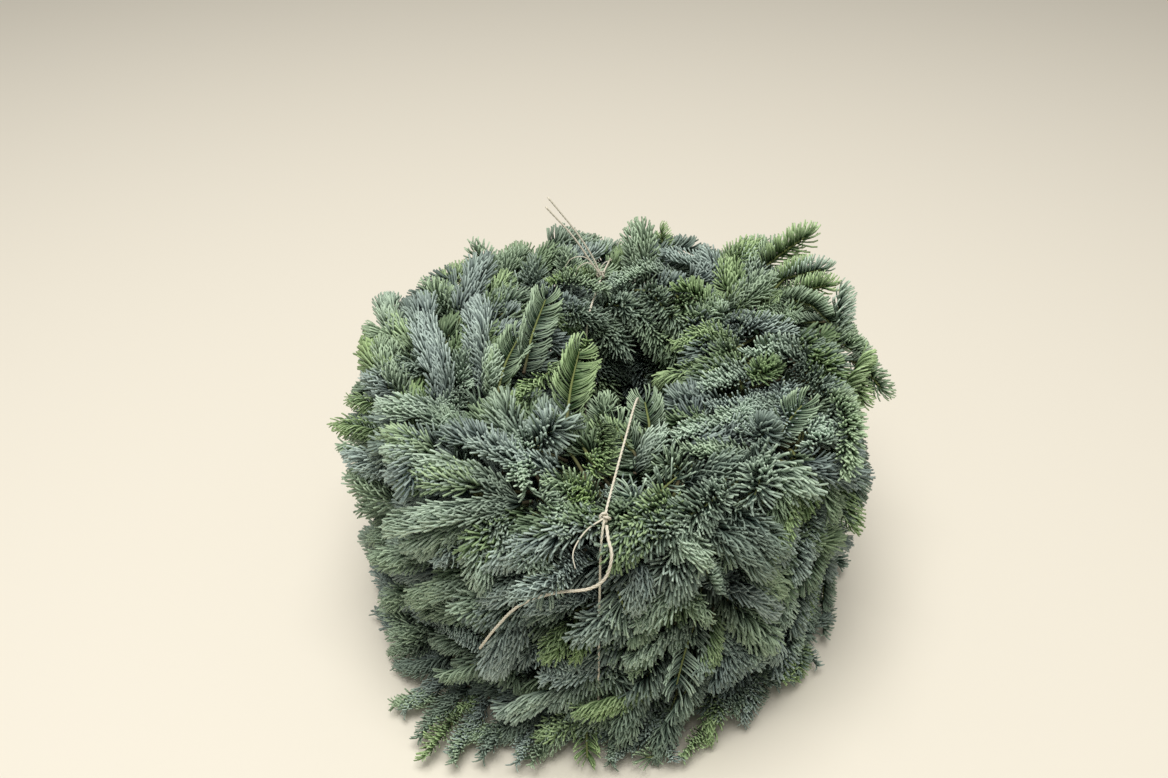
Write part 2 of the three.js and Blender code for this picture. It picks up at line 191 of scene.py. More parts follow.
class MeshStock:
    """Vertices and faces of several tubes that become one mesh."""

    def __init__(self) -> None:
        """Starts with nothing."""
        self.vertices: list[Vector] = []
        self.faces: list[tuple[int, ...]] = []

    def add_tube(
        self, line: Sequence[Vector], radius: Callable[[float], float], sides: int, closed: bool = False
    ) -> None:
        """Adds a tube.

        Args:
            line: its middle line.
            radius: gives its radius at a share of its length.
            sides: faces round it.
            closed: whether the line closes on itself.
        """
        vertices, faces = tube_rings(line, radius, sides, closed)
        first = len(self.vertices)
        self.vertices.extend(vertices)
        self.faces.extend(tuple(first + corner for corner in face) for face in faces)

    def piece(self, name: str, material: bpy.types.Material) -> bpy.types.Object:
        """Makes one smooth object of what was added.

        Args:
            name: the object's name.
            material: its finish.

        Returns:
            The object, in the scene.
        """
        mesh = bpy.data.meshes.new(name)
        mesh.from_pydata([tuple(vertex) for vertex in self.vertices], [], self.faces)
        mesh.shade_smooth()
        mesh.materials.append(material)
        return mesh_object(name, mesh)


# ------------------------------------------------------------------------------------------ node graphs


class Wire:
    """A number socket in a graph, on which arithmetic adds Math nodes."""

    def __init__(self, graph: "Graph", socket: Socket) -> None:
        """Wraps a socket.

        Args:
            graph: where new nodes go.
            socket: an output.
        """
        self.graph = graph
        self.socket = socket

    def math(self, operation: str, *others: Any) -> "Wire":
        """Adds one Math node.

        Args:
            operation: the node's operation.
            others: its further inputs, wires or numbers.

        Returns:
            The node's result.
        """
        return self.graph.math(operation, self, *others)

    def raised(self) -> "Wire":
        """Returns the number, or 0 where it is below."""
        return self.math("MAXIMUM", 0.0)

    def held(self) -> "Wire":
        """Returns the number, held from 0 to 1."""
        return self.raised().math("MINIMUM", 1.0)

    def __add__(self, other: Any) -> "Wire":
        """Returns the sum."""
        return self.math("ADD", other)

    __radd__ = __add__

    def __sub__(self, other: Any) -> "Wire":
        """Returns the difference."""
        return self.math("SUBTRACT", other)

    def __rsub__(self, other: Any) -> "Wire":
        """Returns the difference, the other way round."""
        return self.graph.math("SUBTRACT", other, self)

    def __mul__(self, other: Any) -> "Wire":
        """Returns the product."""
        return self.math("MULTIPLY", other)

    __rmul__ = __mul__

    def __truediv__(self, other: Any) -> "Wire":
        """Returns the quotient."""
        return self.math("DIVIDE", other)


class Graph:
    """A node tree built from Python."""

    def __init__(self, tree: bpy.types.NodeTree) -> None:
        """Takes a tree.

        Args:
            tree: the tree that gets the nodes.
        """
        self.tree = tree

    def node(
        self, kind: str, settings: dict[str, Any] | None = None, inputs: dict[Any, Any] | None = None
    ) -> bpy.types.Node:
        """Adds a node.

        Args:
            kind: the node's type.
            settings: its properties.
            inputs: values or links by socket name, identifier or number.

        Returns:
            The node.
        """
        node = self.tree.nodes.new(kind)
        for name, value in (settings or {}).items():
            setattr(node, name, value)
        for key, value in (inputs or {}).items():
            self.feed(self.input_of(node, key), value)
        return node

    def result(self, kind: str, settings: dict[str, Any] | None = None, **inputs: Any) -> Socket:
        """Adds a node whose first output is wanted.

        Args:
            kind: the node's type.
            settings: its properties.
            inputs: values or links, by socket name with _ for a space.

        Returns:
            The node's first output.
        """
        named = {name.replace("_", " "): value for name, value in inputs.items()}
        return self.node(kind, settings, named).outputs[0]

    def input_of(self, node: bpy.types.Node, key: Any) -> Socket:
        """Returns a node's input by number, identifier or name."""
        if isinstance(key, int):
            return node.inputs[key]
        return next((socket for socket in node.inputs if socket.identifier == key), None) or node.inputs[key]

    def feed(self, socket: Socket, value: Any) -> None:
        """Links a socket, or sets it.

        Args:
            socket: an input.
            value: a wire or output socket to link, several of them, or a plain value.
        """
        if isinstance(value, list):
            for each in value:
                self.feed(socket, each)
        elif isinstance(value, Wire):
            self.tree.links.new(value.socket, socket)
        elif isinstance(value, bpy.types.NodeSocket):
            self.tree.links.new(value, socket)
        else:
            socket.default_value = value

    def math(self, operation: str, *values: Any) -> Wire:
        """Adds a Math node.

        Args:
            operation: the node's operation.
            values: wires or numbers for its inputs, in order.

        Returns:
            The node's result.
        """
        node = self.node("ShaderNodeMath", {"operation": operation}, dict(enumerate(values)))
        return Wire(self, node.outputs[0])

    def vector_math(self, operation: str, *values: Any, scale: Any = None) -> Socket:
        """Adds a Vector Math node.

        Args:
            operation: the node's operation.
            values: vectors for its inputs, in order.
            scale: the factor of the SCALE operation.

        Returns:
            The node's vector.
        """
        inputs: dict[Any, Any] = dict(enumerate(values))
        if scale is not None:
            inputs["Scale"] = scale
        return self.node("ShaderNodeVectorMath", {"operation": operation}, inputs).outputs[0]

    def mix(self, factor: Any, first: Any, second: Any) -> Socket:
        """Mixes two colours.

        Args:
            factor: the share of the second.
            first: a colour or its socket.
            second: the same.

        Returns:
            The mixed colour.
        """
        inputs = {"Factor_Float": factor, "A_Color": first, "B_Color": second}
        return self.node("ShaderNodeMix", {"data_type": "RGBA"}, inputs).outputs[2]


class Surface(Graph):
    """The graph of one material, around its Principled shader."""

    def __init__(self, name: str) -> None:
        """Makes a material.

        Args:
            name: the material's name.
        """
        self.material = bpy.data.materials.new(name)
        self.material.use_nodes = True
        super().__init__(self.material.node_tree)
        self.shader = self.tree.nodes["Principled BSDF"]

    def attribute(self, name: str) -> Wire:
        """Returns a number that the mesh keeps under a name."""
        node = self.node("ShaderNodeAttribute", {"attribute_type": "GEOMETRY", "attribute_name": name})
        return Wire(self, node.outputs["Fac"])

    def coordinates(self) -> Socket:
        """Returns Object coordinates."""
        return self.node("ShaderNodeTexCoord").outputs["Object"]

    def noise(self, scale: float, detail: float = 2.0) -> Wire:
        """Adds noise, read by Object coordinates.

        Args:
            scale: its fineness, in patterns per metre.
            detail: how many finer layers it has.

        Returns:
            A value from 0 to 1.
        """
        inputs = {"Vector": self.coordinates(), "Scale": scale, "Detail": detail}
        return Wire(self, self.node("ShaderNodeTexNoise", None, inputs).outputs["Fac"])

    def dress(self, **inputs: Any) -> bpy.types.Material:
        """Sets the shader's inputs.

        Args:
            inputs: values or links, by socket name with _ for a space.

        Returns:
            The material.
        """
        for name, value in inputs.items():
            self.feed(self.shader.inputs[name.replace("_", " ")], value)
        return self.material


def tint(red: int, green: int, blue: int) -> Colour:
    """Returns a linear colour for one given in screen values from 0 to 255."""

    def linear(value: int) -> float:
        """Returns the linear share of one screen value."""
        part = value / 255
        return part / 12.92 if part <= 0.04045 else ((part + 0.055) / 1.055) ** 2.4

    return linear(red), linear(green), linear(blue), 1.0


# ------------------------------------------------------------------------------------------ finishes


@dataclass(frozen=True)
class NeedleFinish:
    """Waxy needles, from blue-grey to fresh green, paler toward their tips, with painted shade toward each
    needle's foot and at each twig's foot.
    """

    # deep and fresh_deep, the dark ends of the needles' colour ramps, are partly the needles' own dark green
    # and partly painted shade.
    deep: Colour = tint(33, 55, 62)
    bloom: Colour = tint(203, 222, 212)
    fresh_deep: Colour = tint(59, 91, 39)
    fresh: Colour = tint(189, 217, 149)
    # the colour of the painted shade at a twig's foot
    shaded: Colour = tint(24, 36, 42)
    patches: float = 16.0  # patches of fresh growth per metre
    tip_pale: float = 0.78  # how much paler a needle grows toward its tip: partly its own paler tip, partly painted shade at its foot
    own_pale: float = 0.55  # how much one needle is paler than the next
    pale_start: float = 0.2
    # These scale the needles' paleness, which comes from pale wax and from painted light and shade.
    least_wax_and_light: float = 0.5
    wax_and_light_range: float = 0.6
    shoot_youth: float = 0.9  # how much the shoot and the patch make needles fresh
    patch_youth: float = 0.5
    youth_start: float = 0.28
    foot_dark: float = 0.6  # how dark the painted shade on the needles at a twig's foot is
    foot_reach: float = 1.7  # 1 over the share of the twig that gets painted shade
    rough: float = 0.42
    rough_range: float = 0.16
    shine: float = 0.35

    def material(self) -> bpy.types.Material:
        """Returns the needles' material."""
        graph = Surface("fir_needles")
        along = graph.attribute("along")
        shade = graph.attribute("shade")
        wax = graph.attribute("wax")
        share = graph.attribute("share")
        patch = graph.noise(self.patches)
        # Needles pale from foot to tip: partly their own colour, partly painted shade at their feet.
        pale = along * self.tip_pale + shade * self.own_pale - self.pale_start
        ripe = (pale * (self.least_wax_and_light + wax * self.wax_and_light_range)).held()
        blue = graph.mix(ripe, self.deep, self.bloom)
        green = graph.mix(ripe, self.fresh_deep, self.fresh)
        fresh = graph.attribute("fresh")
        youth = (fresh * self.shoot_youth + patch * self.patch_youth - self.youth_start).held()
        body = graph.mix(youth, blue, green)
        # Painted shade: needles near their twig's foot darken toward shaded.
        foot = ((1.0 - share * self.foot_reach) * self.foot_dark).raised()
        colour = graph.mix(foot, body, self.shaded)
        roughness = self.rough + shade * self.rough_range
        return graph.dress(Base_Color=colour, Roughness=roughness, Specular_IOR_Level=self.shine)


@dataclass(frozen=True)
class BarkFinish:
    """Thin young bark, brown at a twig's base and green at its tip."""

    brown: Colour = tint(74, 62, 46)
    green: Colour = tint(126, 138, 78)
    furrow: Colour = tint(64, 54, 40)
    grain: float = 900.0
    brown_share: float = 1 / 3  # share of the twig that is brown or turning green
    furrow_share: float = 0.5
    furrow_bump: float = 0.4
    furrow_depth: float = 0.0004
    rough: float = 0.75

    def material(self) -> bpy.types.Material:
        """Returns the twigs' material."""
        graph = Surface("fir_bark")
        share = graph.attribute("share")
        grain = graph.noise(self.grain, 4.0)
        aged = (share * (1 / self.brown_share)).math("MINIMUM", 1.0)
        colour = graph.mix(aged, self.brown, self.green)
        colour = graph.mix(grain * self.furrow_share, colour, self.furrow)
        bump = graph.result(
            "ShaderNodeBump", Height=grain, Strength=self.furrow_bump, Distance=self.furrow_depth
        )
        return graph.dress(Base_Color=colour, Roughness=self.rough, Normal=bump)


@dataclass(frozen=True)
class TwineFinish:
    """Pale sisal fibres."""

    pale: Colour = tint(236, 231, 216)
    tan: Colour = tint(196, 184, 156)
    fibres: float = 1400.0
    stains: float = 45.0
    fibre_tan: float = 0.7  # how much fibres and stains make it tan
    stain_tan: float = 0.5
    tan_start: float = 0.28
    fibre_bump: float = 0.5
    fibre_depth: float = 0.0003
    rough: float = 0.9

    def material(self) -> bpy.types.Material:
        """Returns the twine's material."""
        graph = Surface("sisal_twine")
        fibres = graph.noise(self.fibres, 3.0)
        stain = graph.noise(self.stains)
        tanned = (fibres * self.fibre_tan + stain * self.stain_tan - self.tan_start).held()
        colour = graph.mix(tanned, self.pale, self.tan)
        bump = graph.result(
            "ShaderNodeBump", Height=fibres, Strength=self.fibre_bump, Distance=self.fibre_depth
        )
        return graph.dress(Base_Color=colour, Roughness=self.rough, Normal=bump)


@dataclass(frozen=True)
class WireFinish:
    """Florist's wire with worn green lacquer."""

    lacquer: Colour = tint(46, 62, 44)
    bare: Colour = tint(120, 116, 108)
    scratches: float = 260.0
    wear_edge: float = 6.0  # how sharply lacquer ends
    wear_start: float = 3.6
    bare_metal: float = 0.9
    rough: float = 0.42
    worn_rough: float = 0.2

    def material(self) -> bpy.types.Material:
        """Returns the wire's material."""
        graph = Surface("green_wire")
        worn = (graph.noise(self.scratches, 4.0) * self.wear_edge - self.wear_start).held()
        colour = graph.mix(worn, self.lacquer, self.bare)
        roughness = self.rough + worn * self.worn_rough
        return graph.dress(Base_Color=colour, Metallic=worn * self.bare_metal, Roughness=roughness)


@dataclass(frozen=True)
class FloorFinish:
    """A plain pale table top."""

    cream: Colour = tint(234, 228, 214)
    warm: Colour = tint(226, 217, 196)
    clouds: float = 3.0
    cloud_warmth: float = 0.12
    rough: float = 0.6
    cloud_rough: float = 0.1

    def material(self) -> bpy.types.Material:
        """Returns the floor's material."""
        graph = Surface("pale_floor")
        cloud = graph.noise(self.clouds, 3.0)
        colour = graph.mix(cloud * self.cloud_warmth, self.cream, self.warm)
        return graph.dress(Base_Color=colour, Roughness=self.rough + cloud * self.cloud_rough)


class Finish(Enum):
    """The finishes of the stack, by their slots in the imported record."""

    NEEDLES = "foliage"
    TWINE = "twine"
    WIRE = "wire"


# ------------------------------------------------------------------------------------------ the stack's form


@dataclass(frozen=True)
class StackForm:
    """Sizes that the pieces share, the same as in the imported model."""

    wreaths: int = 4
    bunches: int = 10
    height: float = 0.246
    hoop: float = 0.145  # radius of the hoops
    hoop_drop: float = 0.004  # how far a hoop lies below the middle of its wreath
    hoop_wire: float = 0.0017  # radii of the wires and of a bundle of stems
    binding_wire: float = 0.0005
    stems: float = 0.0045
    seat: float = 0.0003  # room between what lies on each other
    swirl: float = 0.032  # how far the bunches' planes pass the axis
    front_heading: float = -102.5
    core_inner: float = 0.092  # the flat core of a ring, away from which its shoots face
    core_outer: float = 0.163
    core_half: float = 0.008
    core_near: float = 0.0001  # distance from the core within which a shoot faces up
    tie_height: float = 0.243
    skirt: float = 0.035  # height below which shoots start to lie on the table
    skirt_full: float = 0.012  # height at which they lie flat
    skirt_lift: float = 2.5  # how much more those face up than outward

    @property
    def light(self) -> Vector:
        """Direction toward the light."""
        return Vector((0.0, -0.79, 0.61))

    @property
    def pitch(self) -> float:
        """Height of one wreath."""
        return self.height / self.wreaths

    @property
    def sector(self) -> float:
        """Degrees of one bunch."""
        return 360 / self.bunches

    def hoop_height(self, wreath: int) -> float:
        """Returns the height of a wreath's hoop."""
        return self.pitch * (wreath + 0.5) - self.hoop_drop

    def stem_height(self, wreath: int) -> float:
        """Returns the height of the middle of a wreath's stems."""
        return self.hoop_height(wreath) + self.hoop_wire + self.seat + self.stems

    def divider_heading(self, sector: float) -> float:
        """Returns the outward heading of the plane in front of a sector."""
        return self.front_heading - self.sector * sector

    def hoop_angle(self, sector: float) -> float:
        """Returns the angle round the axis where a sector starts at the hoop."""
        return self.divider_heading(sector) + math.degrees(math.asin(self.swirl / self.hoop))

    def sector_at(self, angle: float) -> int:
        """Returns the sector that holds an angle at the hoop."""
        return int(math.floor((self.hoop_angle(0) - angle) / self.sector)) % self.bunches

    def place(self, angle: float, radius: float, height: float) -> Vector:
        """Returns the place at an angle, radius and height."""
        turn = math.radians(angle)
        return Vector((radius * math.cos(turn), radius * math.sin(turn), height))

    def tie_place(self, sector: float, along: float, height: float) -> Vector:
        """Returns a place on the plane of a tie.

        Args:
            sector: the sector that the tie stands in front of.
            along: distance outward along the plane.
            height: height.

        Returns:
            The place.
        """
        heading = self.divider_heading(sector)
        across = self.place(heading + 90, self.swirl, 0)
        return across + self.place(heading, along, height)

    def outward(self, place: Vector, wreath: int) -> Vector:
        """Returns the direction out of a wreath's ring at a place."""
        radius = max(math.hypot(place.x, place.y), TINY)
        core_radius = min(max(radius, self.core_inner), self.core_outer)
        middle = self.pitch * (wreath + 0.5)
        core_height = min(max(place.z, middle - self.core_half), middle + self.core_half)
        core = Vector((place.x * core_radius / radius, place.y * core_radius / radius, core_height))
        away = place - core
        return Vector((0, 0, 1)) if away.length < self.core_near else away.normalized()

    def lowness(self, place: Vector) -> float:
        """Returns how near a place is to the table, from 0 for high to 1."""
        return min(max((self.skirt - place.z) / (self.skirt - self.skirt_full), 0.0), 1.0)

    def facing(self, place: Vector, wreath: int) -> Vector:
        """Returns where the face of a shoot at a place turns: outward, and upward near the table."""
        lift = self.lowness(place) * self.skirt_lift
        return (self.outward(place, wreath) + Vector((0, 0, lift))).normalized()


FORM = StackForm()


# ------------------------------------------------------------------------------------------ shoots


class Tone(Enum):
    """Kinds of needles, as shares of fresh green and of paleness, which stands for pale wax and for painted
    light and shade.
    """

    PALE = (0.30, 1.0)
    BLUE = (0.05, 0.6)
    GREEN = (0.55, 0.65)
    # DARK is for outermost shoots that lie in shade: painted shade.
    DARK = (0.3, 0.15)
    FRESH = (0.95, 0.9)
    YELLOW = (1.0, 0.55)


# The outermost shoots of the top and the front: foot, middle and tip in millimetres, then tone, size and
# gather in hundredths. A gather below zero parts the needles, so that the twig shows.
OUTER_SHOOTS: tuple[tuple[Any, ...], ...] = (
    ((-104, 117, 222), (-108, 129, 235), (-117, 142, 247), "GREEN", 100, 0),
    ((-100, 117, 221), (-97, 131, 236), (-81, 145, 242), "GREEN", 75, 0),
    ((-129, 58, 222), (-139, 71, 236), (-152, 87, 242), "GREEN", 95, 0),
    ((-125, -63, 220), (-132, -28, 239), (-149, 17, 248), "BLUE", 115, 30),
    ((-98, -39, 221), (-102, -2, 240), (-107, 44, 248), "BLUE", 105, 20),
    ((-87, -56, 232), (-83, -24, 240), (-74, 19, 239), "GREEN", 90, -35),
    ((-153, -11, 221), (-172, 7, 235), (-191, 29, 239), "GREEN", 85, 10),
    ((-152, -49, 221), (-168, -30, 235), (-179, -1, 241), "GREEN", 90, 20),
    ((-118, -7, 223), (-142, -13, 234), (-173, -22, 235), "DARK", 95, 30),
    ((-160, -43, 220), (-172, -36, 230), (-185, -26, 230), "BLUE", 75, 20),
    ((-170, -42, 211), (-183, -40, 217), (-198, -35, 217), "YELLOW", 60, 0),
    ((-162, -70, 206), (-183, -64, 212), (-205, -57, 211), "YELLOW", 70, 0),
    ((-159, -79, 189), (-181, -75, 199), (-197, -71, 201), "GREEN", 80, 20),
    ((-147, -98, 204), (-168, -97, 205), (-189, -85, 204), "BLUE", 90, 20),
    ((-140, -108, 173), (-167, -103, 180), (-190, -91, 183), "GREEN", 90, 10),
    ((-104, -75, 222), (-134, -74, 235), (-161, -69, 237), "PALE", 110, 40),
    ((-67, -147, 221), (-106, -133, 233), (-149, -112, 232), "PALE", 120, 45),
    ((-116, -38, 227), (-122, -67, 232), (-120, -102, 238), "PALE", 85, 20),
    ((-75, -61, 228), (-68, -98, 231), (-60, -146, 237), "PALE", 125, 50),
    ((-95, -50, 222), (-95, -36, 236), (-95, -14, 243), "PALE", 85, 20),
    ((75, 124, 222), (41, 133, 235), (4, 105, 237), "PALE", 90, 50),
    ((-68, -23, 234), (-63, 17, 242), (-54, 74, 240), "GREEN", 95, -40),
    ((-27, 66, 135), (-22, 62, 177), (-19, 56, 204), "FRESH", 95, 20),
    ((106, 21, 223), (86, 29, 234), (62, 29, 228), "FRESH", 90, 30),
    ((-34, -93, 236), (-31, -55, 243), (-25, -1, 239), "FRESH", 100, -45),
    ((-38, -7, 230), (-51, -34, 240), (-66, -46, 234), "FRESH", 80, 30),
    ((-11, -86, 228), (-8, -78, 240), (-5, -67, 248), "GREEN", 75, 0),
    ((-7, -87, 240), (-8, -120, 244), (-16, -139, 236), "YELLOW", 85, 20),
    ((16, -114, 228), (9, -102, 240), (2, -86, 247), "GREEN", 95, -20),
    ((14, -131, 228), (21, -115, 238), (30, -103, 244), "PALE", 85, 30),
    ((27, -93, 226), (26, -75, 238), (25, -54, 244), "GREEN", 90, -30),
    ((87, 10, 219), (65, 5, 212), (46, 23, 195), "FRESH", 85, 10),
    ((122, -6, 227), (97, -26, 232), (75, -44, 236), "PALE", 115, 45),
    ((74, 9, 207), (67, -1, 205), (63, -7, 199), "FRESH", 60, 0),
    ((133, -37, 227), (104, -54, 232), (76, -68, 238), "BLUE", 85, 40),
    ((152, -48, 228), (104, -67, 232), (50, -99, 237), "PALE", 105, 55),
    ((117, -44, 227), (103, -68, 232), (92, -93, 237), "PALE", 80, 20),
    ((112, -114, 224), (81, -114, 233), (55, -118, 239), "GREEN", 95, 50),
    ((25, -155, 223), (31, -153, 234), (41, -147, 240), "PALE", 85, -20),
    ((26, -167, 220), (16, -165, 233), (8, -158, 240), "PALE", 95, 10),
    ((-48, -140, 225), (-44, -163, 231), (-37, -180, 228), "PALE", 95, 30),
    ((-33, -132, 226), (-25, -154, 233), (-17, -171, 235), "YELLOW", 75, 20),
    ((-6, -152, 224), (-24, -153, 234), (-40, -151, 239), "GREEN", 85, 10),
    ((163, 6, 224), (140, 7, 233), (116, -3, 239), "PALE", 115, 30),
    ((130, 128, 240), (139, 116, 230), (147, 123, 211), "PALE", 80, 30),
    ((155, 87, 234), (140, 68, 232), (116, 47, 237), "GREEN", 90, 40),
    ((183, 54, 231), (164, 57, 229), (144, 46, 238), "GREEN", 75, 50),
    ((150, 95, 227), (167, 92, 237), (186, 83, 249), "FRESH", 90, 0),
    ((139, 113, 234), (162, 106, 244), (183, 96, 257), "PALE", 90, 0),
    ((133, 121, 236), (151, 124, 254), (172, 120, 276), "FRESH", 100, 0),
    ((110, 147, 245), (124, 138, 240), (143, 122, 234), "BLUE", 85, 20),
    ((112, 112, 222), (130, 126, 240), (150, 132, 256), "GREEN", 100, 0),
    ((96, 122, 222), (114, 138, 238), (134, 143, 252), "GREEN", 95, 15),
    ((138, 96, 222), (154, 106, 240), (170, 108, 252), "FRESH", 90, 15),
    ((118, 100, 224), (128, 118, 238), (126, 138, 250), "PALE", 90, 15),
    ((-56, 120, 226), (-32, 105, 241), (-7, 92, 240), "GREEN", 85, 30),
    ((-49, 92, 214), (-30, 71, 228), (-10, 66, 227), "DARK", 85, 20),
    ((101, 124, 236), (114, 130, 250), (128, 138, 254), "FRESH", 90, 15),
    ((-38, 90, 178), (-10, 77, 172), (18, 82, 160), "DARK", 110, 20),
    ((-28, 108, 206), (0, 97, 214), (30, 99, 208), "DARK", 100, 20),
    ((-20, -184, 210), (-42, -209, 207), (-60, -211, 198), "BLUE", 78, 25),
    ((76, -170, 161), (93, -173, 158), (112, -166, 132), "BLUE", 95, 20),
    ((84, -166, 173), (100, -168, 170), (115, -164, 150), "GREEN", 85, 20),
    ((47, -136, 222), (63, -132, 229), (82, -123, 231), "DARK", 95, 20),
    ((71, -97, 224), (87, -92, 231), (105, -86, 232), "BLUE", 90, 20),
    ((147, -58, 218), (161, -51, 224), (175, -38, 224), "GREEN", 85, 20),
    ((12, -192, 212), (16, -198, 200), (13, -202, 182), "BLUE", 90, 25),
    ((97, 68, 232), (115, 77, 240), (135, 91, 246), "GREEN", 95, 15),
    ((177, 46, 226), (194, 27, 226), (208, 20, 218), "GREEN", 90, 15),
    ((101, 55, 230), (119, 37, 237), (141, 30, 237), "BLUE", 100, 20),
    ((104, 104, 221), (97, 117, 236), (91, 138, 244), "BLUE", 95, 20),
    ((119, 123, 220), (90, 136, 235), (59, 145, 241), "BLUE", 95, 45),
    ((114, 59, 221), (108, 82, 237), (107, 117, 246), "YELLOW", 95, 0),
    ((87, 158, 229), (92, 165, 205), (92, 171, 176), "YELLOW", 80, -40),
    ((62, 167, 217), (82, 170, 191), (100, 167, 168), "BLUE", 90, 20),
    ((32, 119, 220), (31, 147, 240), (31, 172, 250), "GREEN", 115, 10),
    ((52, 161, 223), (53, 169, 237), (51, 176, 250), "FRESH", 70, 0),
    ((-34, 123, 222), (-36, 132, 235), (-36, 143, 242), "GREEN", 80, 0),
    ((-64, 103, 222), (-66, 112, 235), (-66, 125, 242), "DARK", 85, 0),
    ((-3, 127, 224), (-21, 124, 234), (-46, 107, 238), "YELLOW", 80, 40),
    ((188, 26, 220), (190, 44, 238), (194, 64, 253), "PALE", 90, 0),
    ((182, 46, 228), (196, 33, 227), (205, 19, 225), "GREEN", 70, 10),
    ((191, 15, 224), (205, -1, 221), (213, -24, 220), "GREEN", 75, 0),
    ((181, -26, 206), (187, -16, 220), (199, -1, 230), "FRESH", 105, 20),
    ((148, -3, 226), (161, -32, 231), (174, -54, 228), "DARK", 90, 20),
    ((195, -2, 220), (197, -12, 214), (199, -20, 210), "FRESH", 85, 0),
    ((184, -40, 220), (161, -70, 222), (142, -101, 232), "PALE", 120, 35),
    ((117, -93, 222), (125, -86, 235), (138, -73, 242), "GREEN", 90, -30),
    ((184, -45, 205), (187, -64, 185), (189, -81, 165), "DARK", 90, 20),
    ((179, -66, 172), (181, -82, 157), (186, -92, 141), "FRESH", 90, 10),
    ((153, -88, 214), (153, -109, 204), (156, -122, 186), "GREEN", 90, 30),
    ((88, -127, 223), (103, -130, 233), (124, -138, 228), "PALE", 140, 30),
    ((134, -118, 212), (120, -144, 208), (111, -161, 194), "FRESH", 90, 45),
    ((-155, -87, 163), (-170, -92, 161), (-186, -90, 155), "GREEN", 85, 30),
    ((-58, -151, 221), (-104, -156, 217), (-150, -144, 191), "PALE", 110, 45),
    ((-153, -92, 136), (-166, -97, 135), (-181, -95, 128), "GREEN", 80, 30),
    ((-126, -124, 147), (-149, -126, 140), (-175, -115, 128), "GREEN", 90, 20),
    ((-95, -149, 209), (-92, -167, 197), (-90, -176, 177), "PALE", 105, 20),
    ((-88, -154, 211), (-69, -175, 211), (-53, -188, 206), "PALE", 110, 30),
    ((-102, -147, 182), (-109, -156, 181), (-118, -158, 175), "BLUE", 75, 20),
    ((-85, -156, 147), (-112, -157, 144), (-143, -148, 122), "GREEN", 105, 50),
    ((-154, -112, 70), (-124, -138, 79), (-94, -168, 94), "BLUE", 95, 40),
    ((-143, -106, 83), (-159, -110, 80), (-178, -106, 67), "GREEN", 80, 10),
    ((-147, -111, 43), (-165, -109, 47), (-183, -100, 43), "GREEN", 70, 10),
    ((-139, -121, 45), (-155, -123, 45), (-173, -117, 36), "GREEN", 90, 30),
    ((-49, -171, 177), (-66, -180, 173), (-82, -181, 161), "BLUE", 95, 40),
    ((-58, -167, 141), (-71, -179, 123), (-87, -182, 89), "BLUE", 115, 30),
    ((-44, -173, 203), (-46, -185, 195), (-46, -192, 181), "PALE", 90, -20),
    ((35, -165, 220), (16, -180, 222), (-2, -189, 221), "DARK", 100, 50),
    ((26, -151, 225), (34, -175, 225), (51, -189, 211), "PALE", 110, 40),
    ((60, -169, 181), (42, -186, 172), (23, -195, 158), "PALE", 110, 40),
    ((-1, -179, 180), (3, -191, 173), (8, -197, 160), "PALE", 95, -10),
    ((43, -173, 167), (52, -184, 161), (61, -188, 149), "GREEN", 75, 20),
    ((21, -179, 142), (3, -190, 145), (-15, -196, 139), "BLUE", 95, 50),
    ((59, -171, 121), (37, -185, 124), (19, -195, 118), "PALE", 105, 40),
    ((62, -167, 125), (53, -184, 106), (47, -195, 78), "PALE", 90, -40),
    ((74, -162, 124), (71, -177, 113), (68, -186, 96), "FRESH", 80, 30),
    ((-6, -179, 166), (-29, -188, 166), (-51, -190, 160), "BLUE", 85, 50),
    ((-21, -177, 138), (-34, -188, 129), (-44, -193, 115), "YELLOW", 85, 20),
    ((-15, -178, 133), (-21, -189, 129), (-25, -195, 118), "YELLOW", 70, 20),
    ((82, -164, 144), (70, -174, 164), (61, -183, 189), "PALE", 85, 40),
    ((70, -148, 221), (86, -165, 218), (106, -169, 199), "DARK", 100, 20),
    ((52, -159, 220), (71, -174, 214), (96, -177, 190), "DARK", 110, 30),
    ((85, -156, 199), (94, -166, 190), (104, -170, 172), "GREEN", 85, 20),
    ((132, -121, 139), (127, -141, 125), (128, -152, 105), "PALE", 85, 20),
    ((166, -70, 95), (162, -92, 74), (149, -124, 74), "YELLOW", 85, 20),
    ((186, -40, 71), (186, -59, 53), (184, -82, 37), "DARK", 75, 20),
    ((190, -55, 14), (190, -72, 5), (186, -93, 4), "DARK", 80, 0),
    ((148, -107, 69), (146, -126, 62), (143, -141, 53), "PALE", 80, 20),
    ((79, -159, 137), (94, -169, 125), (114, -169, 98), "GREEN", 105, 10),
    ((107, -142, 103), (119, -152, 91), (125, -159, 70), "BLUE", 85, 20),
    ((-144, -117, 30), (-160, -122, 26), (-177, -118, 13), "GREEN", 75, 20),
    ((-125, -136, 32), (-147, -139, 25), (-171, -131, 9), "DARK", 85, 30),
    ((-86, -160, 66), (-104, -165, 61), (-126, -163, 48), "GREEN", 85, 50),
    ((-124, -157, 5), (-145, -164, 5), (-165, -166, 4), "GREEN", 95, 30),
    ((-119, -150, 13), (-109, -167, 12), (-104, -181, 5), "FRESH", 70, 30),
    ((-100, -160, 12), (-112, -168, 9), (-123, -174, 5), "FRESH", 75, 20),
    ((-118, -175, 4), (-131, -193, 4), (-140, -208, 5), "FRESH", 90, 10),
    ((-106, -174, 5), (-113, -194, 4), (-118, -211, 4), "GREEN", 90, 10),
    ((-62, -179, 5), (-86, -189, 4), (-108, -198, 5), "GREEN", 90, 40),
    ((-49, -187, 4), (-58, -213, 4), (-61, -222, 4), "GREEN", 100, 20),
    ((-7, -183, 61), (-42, -189, 62), (-74, -191, 45), "PALE", 120, 50),
    ((39, -179, 65), (10, -194, 64), (-18, -200, 58), "FRESH", 105, 45),
